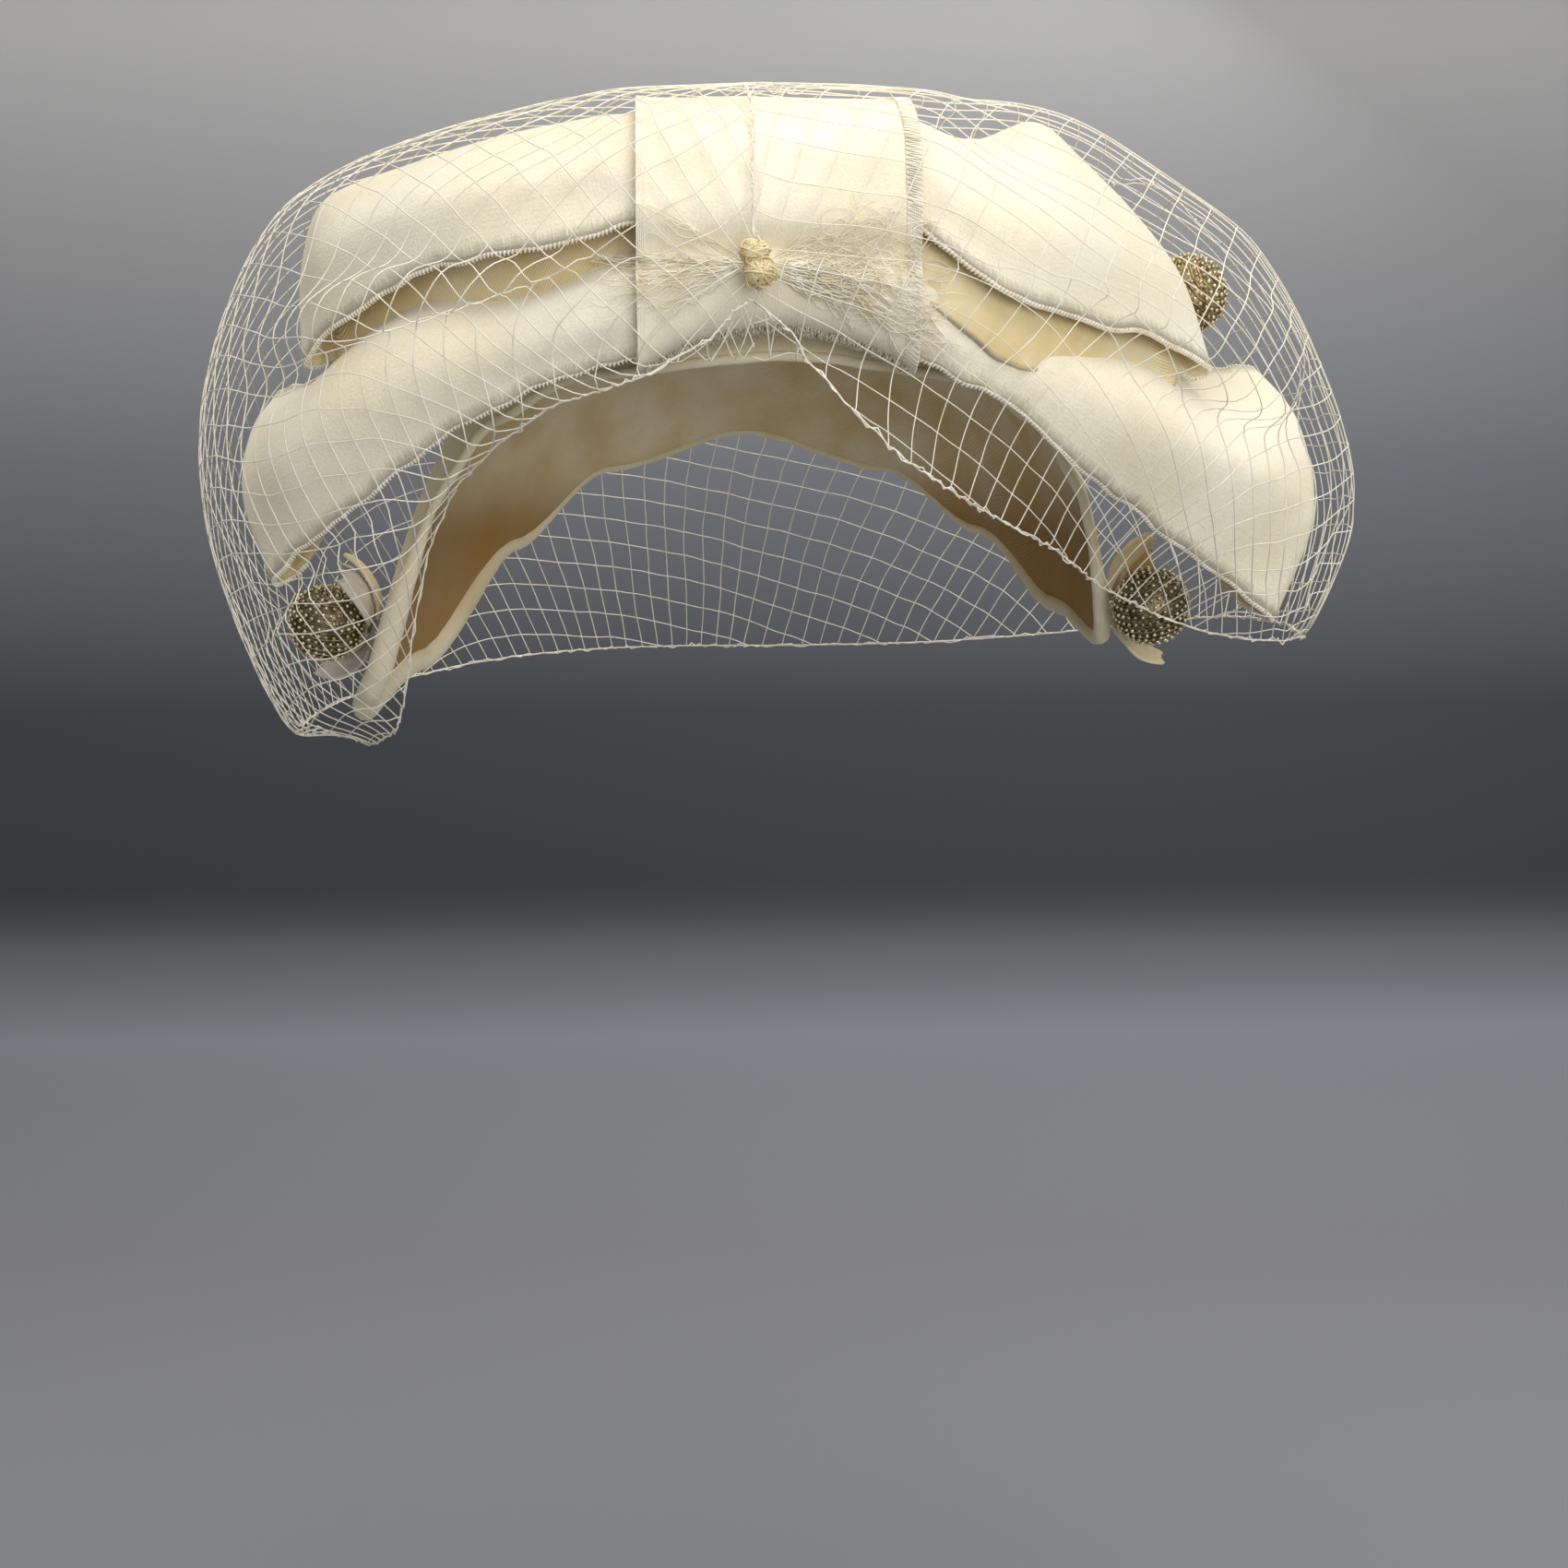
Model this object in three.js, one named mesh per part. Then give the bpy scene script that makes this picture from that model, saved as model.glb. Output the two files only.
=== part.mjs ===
// A velvet half hat with a large flat ribbon bow at the back, a petal flower with a beaded ball
// over each ear, two more beaded balls behind the bow's right loops, and a net veil over it all.
// Millimetres. +Z is up and +Y runs from the bow to the wearer's face, so -X is the wearer's left.
// The origin is the top of the inside of the crown, where the hat sits on the head.
import * as THREE from "three";

// The crown: the inside of the velvet cap, as the upper part of an ellipsoid.
const CROWN_WIDTH = 157;
const CROWN_LENGTH = 192;
const CROWN_HEIGHT = 95;
const CROWN_WALL = 2.4;
const LEFT_END_FLARE = 9;
const RIGHT_END_FLARE = 0.5;

// The bow: how far it reaches past the crown's sides, back and top.
const BOW_OVERHANG = 46.5;
const BOW_STANDOFF = 4;
const BOW_LIFT = 25;
const RIBBON_THICKNESS = 1.6;
const LOOP_PUFF = 11;
const ROOT_PUFF = 4.6;
const ROOT_SPLIT = 2;
const WRAP_WIDTH = 56;
const WRAP_THICKNESS = 1.8;
const WRAP_HEM_TURN = 4;
const WRAP_GAP = 1.15;
// The bow's lower edge is this much higher in the middle than at the wrap's sides.
const ARCH_RISE = 9;

// The flowers and the beaded balls.
const BALL_DIAMETER = 18.5;
const PETALS = 6;
const PETAL_SPREAD = 170;
const PETAL_LENGTH = 17;
const PETAL_WIDTH = 12;
const PETAL_CUP = 75;
const PETAL_THICKNESS = 1.2;
const PETAL_GAP = 0.4;
const FLOWER_HOLE = 8;

// The veil: a net whose strands are drawn coarse, so that its gaps are cut through.
const VEIL_COLUMNS = 20;
const VEIL_STRAND = 2;
const VEIL_THICKNESS = 1.2;
const VEIL_SQUARENESS = 2.8;
const KNOT_DIAMETER = 11;
const KNOT_THREAD = 2.2;
// The net is gathered and joined this far to the side of the centre back.
const SEAM_SIDE = -5;

// What is sewn to something else lies this far from it.
const SEAT_GAP = 0.3;

const bowReach = CROWN_WIDTH / 2 + BOW_OVERHANG;
const bowDepth = CROWN_LENGTH / 2 + BOW_STANDOFF;
const bowHeight = CROWN_HEIGHT + BOW_LIFT;

const velvet = new THREE.MeshStandardMaterial({ color: 0xf1e8cf, roughness: 0.95 });
const beading = new THREE.MeshStandardMaterial({ color: 0x8f7f5e, roughness: 0.4, metalness: 0.6 });
const netting = new THREE.MeshStandardMaterial({ color: 0xefe7d2, roughness: 0.7 });
const thread = new THREE.MeshStandardMaterial({ color: 0xe0cf9f, roughness: 0.8 });

const hat = new THREE.Group();

// Adds one named piece to the hat.
function addPiece(name, geometry, material) {
  const mesh = new THREE.Mesh(geometry, material);
  mesh.name = name;
  hat.add(mesh);
  return mesh;
}

// Gives a thin surface its thickness: points are Vector3, faces are lists of their numbers that
// run anticlockwise seen from outside, and every edge that only one face uses gets a wall.
function thicken(points, faces, thickness) {
  const normals = points.map(() => new THREE.Vector3());
  for (const face of faces) {
    const [a, b, c] = [face[0], face[1], face[face.length - 1]].map((i) => points[i]);
    const normal = new THREE.Vector3().subVectors(b, a).cross(new THREE.Vector3().subVectors(c, a));
    face.forEach((i) => normals[i].add(normal));
  }
  const shifted = (side) =>
    points.map((p, i) => p.clone().addScaledVector(normals[i].normalize(), (side * thickness) / 2));
  const vertices = [...shifted(1), ...shifted(-1)].flatMap((p) => p.toArray());
  const triangles = [];
  const edges = new Map();
  for (const face of faces) {
    for (let i = 1; i + 1 < face.length; i++) {
      const [a, b, c] = [face[0], face[i], face[i + 1]];
      triangles.push(a, b, c, a + points.length, c + points.length, b + points.length);
    }
    face.forEach((a, i) => edges.set(`${a},${face[(i + 1) % face.length]}`, true));
  }
  for (const edge of edges.keys()) {
    const [a, b] = edge.split(",").map(Number);
    if (edges.has(`${b},${a}`)) continue;
    triangles.push(b, a, a + points.length, b, a + points.length, b + points.length);
  }
  const geometry = new THREE.BufferGeometry();
  geometry.setAttribute("position", new THREE.Float32BufferAttribute(vertices, 3));
  geometry.setIndex(triangles);
  return geometry;
}

// The four-sided faces of a grid of points that is stored line by line.
function gridFaces(lines, perLine, joined) {
  const faces = [];
  for (let i = 0; i < (joined ? lines : lines - 1); i++) {
    for (let j = 0; j + 1 < perLine; j++) {
      const [here, next] = [i * perLine + j, ((i + 1) % lines) * perLine + j];
      faces.push([here, next, next + 1, here + 1]);
    }
  }
  return faces;
}

// The value at one place in a table of rows that run round the hat, smooth between the rows.
function roundTable(rows, degrees, column) {
  const turn = 360;
  const count = rows.length;
  const at = (i) => rows[((i % count) + count) % count].at + turn * Math.floor(i / count);
  let i = 0;
  while (at(i + 1) <= degrees) i++;
  const share = (degrees - at(i)) / (at(i + 1) - at(i));
  const eased = share * share * (3 - 2 * share);
  const value = (k) => rows[((k % count) + count) % count][column];
  return value(i) + (value(i + 1) - value(i)) * eased;
}

// Where the crown's edge runs: degrees round from the centre back towards the right, and how far
// below the top it lies as a share of the crown's height. It is cut high at the back and the
// forehead, and comes down over both ears, lower on the left.
const CROWN_EDGE = [
  { at: -180, drop: 0.52 },
  { at: -150, drop: 0.62 },
  { at: -130, drop: 0.82 },
  { at: -110, drop: 1.1 },
  { at: -90, drop: 1.19 },
  { at: -80, drop: 1.12 },
  { at: -70, drop: 0.64 },
  { at: -60, drop: 0.49 },
  { at: -40, drop: 0.39 },
  { at: 0, drop: 0.35 },
  { at: 40, drop: 0.39 },
  { at: 60, drop: 0.49 },
  { at: 70, drop: 0.62 },
  { at: 80, drop: 1.0 },
  { at: 90, drop: 1.02 },
  { at: 110, drop: 0.96 },
  { at: 130, drop: 0.78 },
  { at: 150, drop: 0.62 },
];
const CROWN_COLUMNS = 36;
const CROWN_RINGS = 8;

// A point on the crown: degrees round from the back, drop below the top as a share of the
// crown's height, and the distance outside the inner face.
function crownPoint(degrees, drop, outside) {
  const turn = THREE.MathUtils.degToRad(degrees);
  const ring = Math.sqrt(Math.max(0, 1 - (1 - drop) ** 2));
  const flare = (degrees < 0 ? LEFT_END_FLARE : RIGHT_END_FLARE) * Math.sin(turn) ** 4 * drop ** 3;
  return new THREE.Vector3(
    Math.sin(turn) * (ring * (CROWN_WIDTH / 2 + outside) + flare),
    -Math.cos(turn) * ring * (CROWN_LENGTH / 2 + outside),
    (1 - drop) * (CROWN_HEIGHT + outside) - CROWN_HEIGHT,
  );
}

function makeCrown() {
  const points = [crownPoint(0, 0, CROWN_WALL / 2)];
  const faces = [];
  for (let i = 0; i < CROWN_COLUMNS; i++) {
    const degrees = -180 + (360 * i) / CROWN_COLUMNS;
    const edge = Math.acos(1 - roundTable(CROWN_EDGE, degrees, "drop"));
    for (let j = 1; j <= CROWN_RINGS; j++) {
      const drop = 1 - Math.cos((edge * j) / CROWN_RINGS);
      points.push(crownPoint(degrees, drop, CROWN_WALL / 2));
    }
    faces.push([0, 1 + i * CROWN_RINGS, 1 + ((i + 1) % CROWN_COLUMNS) * CROWN_RINGS]);
  }
  const sides = gridFaces(CROWN_COLUMNS, CROWN_RINGS, true);
  // The grid starts at the second point and is seen from outside the other way round.
  faces.push(...sides.map((face) => face.map((k) => k + 1).reverse()));
  addPiece("crown", thicken(points, faces, CROWN_WALL), velvet);
}

// The bow's tables. Each row is a section across the ribbon, from its edge nearest the viewer
// behind the hat to its far edge. A point is its reach to the side, its distance behind the
// origin and its height above it, as shares of the bow's reach, depth and height. The first row
// is the root, which lies under the wrap, and the last is where the ribbon folds back. Puff is
// the space between the two layers of the loop, as a share of LOOP_PUFF.
const UPPER_ROOT = [
  [0.22, 0.9, -0.06],
  [0.22, 0.85, 0.065],
  [0.22, 0.52, 0.15],
  [0.22, 0.02, 0.1],
];
const LOWER_ROOT = [
  [0.22, 0.865, -0.27],
  [0.22, 0.9, -0.175],
  [0.22, 0.868, -0.12],
  [0.22, 0.73, -0.03],
];
const UPPER_LEFT_LOOP = [
  { section: UPPER_ROOT, puff: 0.42 },
  {
    section: [[0.42, 0.85, -0.095], [0.43, 0.81, 0.02], [0.43, 0.5, 0.12], [0.43, 0.02, 0.08]],
    puff: 0.75,
  },
  {
    section: [[0.6, 0.71, -0.14], [0.63, 0.68, -0.03], [0.635, 0.44, 0.055], [0.61, 0.03, 0.01]],
    puff: 0.85,
  },
  {
    section: [[0.73, 0.57, -0.215], [0.755, 0.54, -0.08], [0.75, 0.37, 0.02], [0.71, 0.06, -0.04]],
    puff: 0.7,
  },
  {
    section: [[0.795, 0.47, -0.275], [0.8, 0.43, -0.12], [0.775, 0.32, 0.005], [0.73, 0.1, -0.05]],
    puff: 0.5,
  },
];
const UPPER_RIGHT_LOOP = [
  { section: UPPER_ROOT, puff: 0.42 },
  {
    section: [[0.37, 0.87, -0.17], [0.36, 0.83, -0.03], [0.35, 0.52, 0.105], [0.35, 0.02, 0.08]],
    puff: 0.6,
  },
  {
    section: [[0.52, 0.75, -0.205], [0.49, 0.74, -0.05], [0.46, 0.48, 0.135], [0.46, 0.06, 0.09]],
    puff: 0.75,
  },
  {
    section: [[0.66, 0.61, -0.235], [0.62, 0.58, -0.08], [0.53, 0.43, 0.09], [0.53, 0.1, 0.06]],
    puff: 0.7,
  },
  {
    section: [[0.755, 0.5, -0.28], [0.7, 0.45, -0.1], [0.57, 0.37, 0.06], [0.57, 0.13, 0.03]],
    puff: 0.5,
  },
];
const LOWER_LEFT_LOOP = [
  { section: LOWER_ROOT, puff: 0.42 },
  {
    section: [[0.4, 0.82, -0.325], [0.41, 0.835, -0.235], [0.415, 0.75, -0.165], [0.42, 0.56, -0.1]],
    puff: 0.7,
  },
  {
    section: [[0.59, 0.72, -0.44], [0.63, 0.75, -0.32], [0.63, 0.66, -0.225], [0.62, 0.46, -0.18]],
    puff: 0.9,
  },
  {
    section: [[0.76, 0.59, -0.57], [0.81, 0.61, -0.44], [0.81, 0.49, -0.35], [0.78, 0.34, -0.305]],
    puff: 0.9,
  },
  {
    section: [[0.86, 0.46, -0.66], [0.905, 0.44, -0.51], [0.895, 0.36, -0.395], [0.86, 0.26, -0.33]],
    puff: 0.7,
  },
];
const LOWER_RIGHT_LOOP = [
  { section: LOWER_ROOT, puff: 0.42 },
  {
    section: [[0.36, 0.84, -0.34], [0.37, 0.83, -0.255], [0.38, 0.74, -0.2], [0.4, 0.56, -0.13]],
    puff: 0.7,
  },
  {
    section: [[0.54, 0.72, -0.48], [0.6, 0.74, -0.37], [0.61, 0.63, -0.29], [0.62, 0.44, -0.25]],
    puff: 0.9,
  },
  {
    section: [[0.72, 0.58, -0.61], [0.82, 0.59, -0.47], [0.8, 0.46, -0.38], [0.785, 0.29, -0.285]],
    puff: 0.9,
  },
  {
    section: [[0.88, 0.46, -0.73], [0.96, 0.43, -0.54], [0.94, 0.35, -0.39], [0.88, 0.22, -0.28]],
    puff: 0.7,
  },
];
// Where the arch of the lower edge fades out up the bow and where it is full, as shares of the
// bow's height.
const ARCH_TOP = -0.067;
const ARCH_FOOT = -0.267;
const LOOP_STEPS = 14;
const ROOT_STEPS = 4;
const FOLD_STEPS = 4;
const ACROSS_STEPS = 6;

// A point of the bow's tables in millimetres, on the left or the right.
function bowPoint([reach, back, rise], side) {
  return new THREE.Vector3(side * reach * bowReach, -back * bowDepth, rise * bowHeight);
}

// Lifts a point near the bow's lower edge, the more the nearer it is to the middle.
function arched(point) {
  const over = Math.max(0, 1 - (point.x / (WRAP_WIDTH / 2)) ** 2);
  const low = THREE.MathUtils.smoothstep(-point.z, -ARCH_TOP * bowHeight, -ARCH_FOOT * bowHeight);
  return point.setZ(point.z + ARCH_RISE * over * low);
}

// A loop's outer layer as a function of the place along and across the ribbon.
function ribbonSurface(rows, side) {
  const sections = rows.map(
    (row) => new THREE.CatmullRomCurve3(row.section.map((point) => bowPoint(point, side))),
  );
  return (along, across) =>
    new THREE.CatmullRomCurve3(sections.map((s) => s.getPoint(across))).getPoint(along);
}

// The direction out of a ribbon's surface, away from the head.
function outwards(surface, along, across, side) {
  const step = 0.01;
  const [a0, a1] = [Math.max(0, along - step), Math.min(1, along + step)];
  const [c0, c1] = [Math.max(0, across - step), Math.min(1, across + step)];
  const alongWay = surface(a1, across).sub(surface(a0, across));
  const acrossWay = surface(along, c1).sub(surface(along, c0));
  return alongWay.cross(acrossWay).multiplyScalar(side).normalize();
}

// The puff of a loop at a place along it, straight between the rows.
function puffAt(rows, along) {
  const place = along * (rows.length - 1);
  const row = Math.min(Math.floor(place), rows.length - 2);
  return LOOP_PUFF * THREE.MathUtils.lerp(rows[row].puff, rows[row + 1].puff, place - row);
}

// One loop: the ribbon leaves the middle, folds back at its far end and returns beneath itself.
function makeLoop(name, rows, side) {
  const surface = ribbonSurface(rows, side);
  const lines = [];
  const addLine = (place) => {
    const line = [];
    for (let j = 0; j <= ACROSS_STEPS; j++) line.push(arched(place(j / ACROSS_STEPS)));
    lines.push(line);
  };
  const rootX = (k) => THREE.MathUtils.lerp(ROOT_SPLIT / 2, WRAP_WIDTH / 2, k / ROOT_STEPS);
  const layer = (along, across, depth) =>
    surface(along, across).addScaledVector(outwards(surface, along, across, side), -depth);
  const root = (k, depth) => (across) => layer(0, across, depth).setX(side * rootX(k));
  for (let k = 0; k < ROOT_STEPS; k++) addLine(root(k, 0));
  for (let i = 0; i <= LOOP_STEPS; i++) {
    addLine((across) => (i ? layer(i / LOOP_STEPS, across, 0) : root(ROOT_STEPS, 0)(across)));
  }
  const foldRadius = puffAt(rows, 1) / 2;
  for (let i = 1; i < FOLD_STEPS; i++) {
    const turn = (Math.PI * i) / FOLD_STEPS;
    addLine((across) => {
      const out = outwards(surface, 1, across, side);
      const onwards = surface(1, across).sub(surface(0.98, across)).normalize();
      return layer(1, across, foldRadius)
        .addScaledVector(out, foldRadius * Math.cos(turn))
        .addScaledVector(onwards, foldRadius * Math.sin(turn));
    });
  }
  for (let i = LOOP_STEPS; i > 0; i--) {
    addLine((across) => layer(i / LOOP_STEPS, across, puffAt(rows, i / LOOP_STEPS)));
  }
  for (let k = ROOT_STEPS; k >= 0; k--) addLine(root(k, ROOT_PUFF));
  const faces = gridFaces(lines.length, ACROSS_STEPS + 1, false);
  if (side > 0) faces.forEach((face) => face.reverse());
  addPiece(name, thicken(lines.flat(), faces, RIBBON_THICKNESS), velvet);
}

// The wrap's path over the middle of the bow, in the middle plane: over the roots of the upper and
// lower loops and round the lower edge. Both of its ends lie on the crown.
const WRAP_FRONT = 0.2;
const WRAP_FRONT_LENGTH = 0.1;
const WRAP_BACK = 0.36;
const UPPER_WRAP_STEPS = 6;
const LOWER_WRAP_STEPS = 3;
const WRAP_ACROSS_STEPS = 8;

function wrapPath() {
  const away = RIBBON_THICKNESS / 2 + WRAP_GAP + WRAP_THICKNESS / 2;
  const overRoot = (section, steps, from) => {
    const curve = new THREE.CatmullRomCurve3(section.map((p) => bowPoint([0, p[1], p[2]], 1)));
    return Array.from({ length: steps + 1 }, (_, i) => {
      const share = from * (1 - i / steps);
      const way = curve.getTangent(share);
      return curve.getPoint(share).add(new THREE.Vector3(0, -way.z, way.y).multiplyScalar(away));
    });
  };
  const hem = bowPoint(LOWER_ROOT[0], 1);
  return [
    ...overRoot(UPPER_ROOT, UPPER_WRAP_STEPS, 1),
    ...overRoot(LOWER_ROOT, LOWER_WRAP_STEPS, 0.6),
    new THREE.Vector3(0, hem.y + WRAP_HEM_TURN / 2, hem.z - away),
  ];
}

function makeWrap() {
  const outside = CROWN_WALL + 2 * SEAT_GAP + WRAP_THICKNESS / 2;
  const [wide, long, high] = [CROWN_WIDTH / 2, CROWN_LENGTH / 2, CROWN_HEIGHT].map((r) => r + outside);
  const rest = (a, b) => Math.sqrt(1 - a ** 2 - b ** 2);
  const onTop = (x, y) => new THREE.Vector3(x, y, high * rest(x / wide, y / long) - CROWN_HEIGHT);
  const onBack = (x, z) => new THREE.Vector3(x, -long * rest(x / wide, (z + CROWN_HEIGHT) / high), z);
  const path = wrapPath();
  const lines = [];
  const addLine = (place) => {
    const across = Array.from({ length: WRAP_ACROSS_STEPS + 1 }, (_, j) => j / WRAP_ACROSS_STEPS - 0.5);
    lines.push(across.map((share) => place(share * WRAP_WIDTH)));
  };
  addLine((x) => onTop(x, long * (WRAP_FRONT + WRAP_FRONT_LENGTH)));
  addLine((x) => onTop(x, long * WRAP_FRONT));
  path.forEach((p) => addLine((x) => arched(p.clone().setX(x))));
  addLine((x) => onBack(x, arched(new THREE.Vector3(x, 0, -WRAP_BACK * CROWN_HEIGHT)).z));
  const faces = gridFaces(lines.length, WRAP_ACROSS_STEPS + 1, false);
  addPiece("bow_wrap", thicken(lines.flat(), faces, WRAP_THICKNESS), velvet);
}

// How far behind the origin the wrap reaches.
function wrapBack() {
  return WRAP_THICKNESS / 2 - Math.min(...wrapPath().map((p) => p.y));
}

// The flowers: degrees round the crown, how far down it as a share of the crown's height, the
// degrees by which the half ring of petals leans from straight up, towards the face, and how far
// back and inwards the ball is from the middle, as shares of its radius.
const FLOWERS = [
  { name: "left", at: -84, drop: 1, lean: -48, back: 0, inwards: 0 },
  { name: "right", at: 78, drop: 0.93, lean: 68, back: 0.8, inwards: 0.2 },
];
const PETAL_STEPS = 5;
const PETAL_ACROSS_STEPS = 4;
const PETAL_FOOT = 0.12;
const PETAL_TIP = 0.88;
const PETAL_FULLNESS = 0.8;
const BALL_SIDES = 16;
const BALL_RINGS = 10;

// One flower: cupped petals side by side in two layers, sewn to the crown at their narrow ends,
// and a beaded ball that sits in the middle. The petals leave the ball open to behind.
function makeFlower({ name, at, drop, lean, back, inwards }) {
  const seat = crownPoint(at, drop, CROWN_WALL);
  const step = 0.01;
  const across = crownPoint(at + 1, drop, CROWN_WALL).sub(crownPoint(at - 1, drop, CROWN_WALL));
  const down = crownPoint(at, drop + step, CROWN_WALL).sub(crownPoint(at, drop - step, CROWN_WALL));
  const out = down.cross(across).normalize();
  const up = new THREE.Vector3(0, 0, 1).addScaledVector(out, -out.z).normalize();
  const along = new THREE.Vector3().crossVectors(up, out);
  const bowl = PETAL_LENGTH / THREE.MathUtils.degToRad(PETAL_CUP);
  const hole = FLOWER_HOLE / 2;
  for (let k = 0; k < PETALS; k++) {
    const lift = (k % 2) * (PETAL_THICKNESS + PETAL_GAP);
    const middle = THREE.MathUtils.degToRad((k / (PETALS - 1) - 0.5) * PETAL_SPREAD + lean);
    const points = [];
    for (let i = 0; i <= PETAL_STEPS; i++) {
      const share = i / PETAL_STEPS;
      const slope = (share * PETAL_LENGTH) / bowl;
      const radius = hole + (bowl - lift) * Math.sin(slope);
      const height = SEAT_GAP + PETAL_THICKNESS / 2 + bowl - (bowl - lift) * Math.cos(slope);
      const swell = Math.sin(Math.PI * THREE.MathUtils.lerp(PETAL_FOOT, PETAL_TIP, share));
      const width = PETAL_WIDTH * swell ** PETAL_FULLNESS;
      for (let j = 0; j <= PETAL_ACROSS_STEPS; j++) {
        const turn = middle + ((j / PETAL_ACROSS_STEPS - 0.5) * width) / (radius + hole / 2);
        points.push(
          seat
            .clone()
            .addScaledVector(out, height)
            .addScaledVector(up, radius * Math.cos(turn))
            .addScaledVector(along, radius * Math.sin(turn)),
        );
      }
    }
    const faces = gridFaces(PETAL_STEPS + 1, PETAL_ACROSS_STEPS + 1, false);
    addPiece(`${name}_flower_petal_${k + 1}`, thicken(points, faces, PETAL_THICKNESS), velvet);
  }
  const petalTop = SEAT_GAP + 2 * PETAL_THICKNESS + PETAL_GAP;
  const sunk = Math.sqrt((BALL_DIAMETER / 2) ** 2 - hole ** 2);
  const middle = seat
    .clone()
    .addScaledVector(out, petalTop + SEAT_GAP + sunk - (inwards * BALL_DIAMETER) / 2)
    .addScaledVector(along, (-Math.sign(along.y) * back * BALL_DIAMETER) / 2);
  makeBall(`${name}_flower_ball`, middle);
}

function makeBall(name, middle) {
  const ball = new THREE.SphereGeometry(BALL_DIAMETER / 2, BALL_SIDES, BALL_RINGS);
  addPiece(name, ball, beading).position.copy(middle);
}

// The beaded balls sewn to the folded ends of the right loops: the place across the ribbon, the
// degrees round the fold, from beneath the loop to straight beyond its end, and how far the ball
// stands past the ribbon's far edge, as a share of its radius.
const LOOP_BALLS = [
  { name: "upper_loop_ball", rows: UPPER_RIGHT_LOOP, across: 0.3, round: 85, past: 0 },
  { name: "lower_loop_ball", rows: LOWER_RIGHT_LOOP, across: 1, round: 0, past: 0.5 },
];

function makeLoopBall({ name, rows, across, round, past }) {
  const surface = ribbonSurface(rows, 1);
  const turn = THREE.MathUtils.degToRad(round);
  const foldRadius = puffAt(rows, 1) / 2;
  const out = outwards(surface, 1, across, 1);
  const onwards = surface(1, across).sub(surface(0.98, across)).normalize();
  const sideways = new THREE.Vector3().crossVectors(out, onwards);
  const shift = (past * BALL_DIAMETER) / 2;
  const clear = foldRadius + RIBBON_THICKNESS / 2 + SEAT_GAP + BALL_DIAMETER / 2;
  const away = Math.sqrt(clear ** 2 - shift ** 2);
  const middle = surface(1, across)
    .addScaledVector(out, -foldRadius - away * Math.cos(turn))
    .addScaledVector(onwards, away * Math.sin(turn))
    .addScaledVector(sideways, shift);
  makeBall(name, middle);
}

// The veil's rings, from the one round its top to its hem: how far each reaches to the left, to
// the right, behind the origin and before it, and its heights there, as shares of the bow's
// reach, depth and height.
const VEIL_RINGS = [
  { reach: [0.12, 0.2, 0.6, -0.2], rise: [0.21, 0.21, 0.2, 0.215] },
  { reach: [0.42, 0.52, 0.83, 0.12], rise: [0.175, 0.16, 0.15, 0.14] },
  { reach: [0.81, 0.81, 0.97, 0.5], rise: [0.02, -0.02, 0.03, -0.05] },
  { reach: [0.98, 0.99, 1.03, 0.84], rise: [-0.28, -0.28, -0.125, -0.3] },
  { reach: [1.01, 1.09, 0.96, 1.05], rise: [-0.6, -0.57, -0.21, -0.6] },
  { reach: [0.88, 1.03, 0.92, 1.12], rise: [-0.98, -0.79, -0.28, -0.9] },
];
const SEAM_TURN = 0.35;
const KNOT_RING = 3;
const KNOT_PULL_TURN = 0.17;
const KNOT_PULL_RINGS = 0.35;

// A point on the veil: its angle round from the centre back towards the right, and its place
// down from the top ring, counted in rings. At the knot the net is drawn in to the wrap.
function veilPoint(turn, ring) {
  const [sine, cosine] = [Math.sin(turn), -Math.cos(turn)];
  const rounded = (value) => Math.sign(value) * Math.abs(value) ** (2 / VEIL_SQUARENESS);
  const seam = THREE.MathUtils.euclideanModulo(turn + Math.PI, 2 * Math.PI) - Math.PI;
  const shift = SEAM_SIDE * Math.exp(-((seam / SEAM_TURN) ** 2));
  const rings = VEIL_RINGS.map((row) => {
    const [left, right, back, front] = row.reach;
    const [riseLeft, riseRight, riseBack, riseFront] = row.rise;
    const [side, riseSide] = sine < 0 ? [left, riseLeft] : [right, riseRight];
    const riseEnd = cosine < 0 ? riseBack : riseFront;
    const [middle, half] = [(front - back) / 2, (front + back) / 2];
    return new THREE.Vector3(
      side * bowReach * rounded(sine) + shift,
      bowDepth * (middle + half * rounded(cosine)),
      bowHeight * (riseSide * sine ** 2 + riseEnd * cosine ** 2),
    );
  });
  const point = new THREE.CatmullRomCurve3(rings).getPoint(ring / (rings.length - 1));
  const near = Math.exp(-((seam / KNOT_PULL_TURN) ** 2) - ((ring - KNOT_RING) / KNOT_PULL_RINGS) ** 2);
  const drawnIn = -(wrapBack() + SEAT_GAP + VEIL_THICKNESS / 2);
  return point.setY(THREE.MathUtils.lerp(point.y, drawnIn, near));
}

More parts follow.
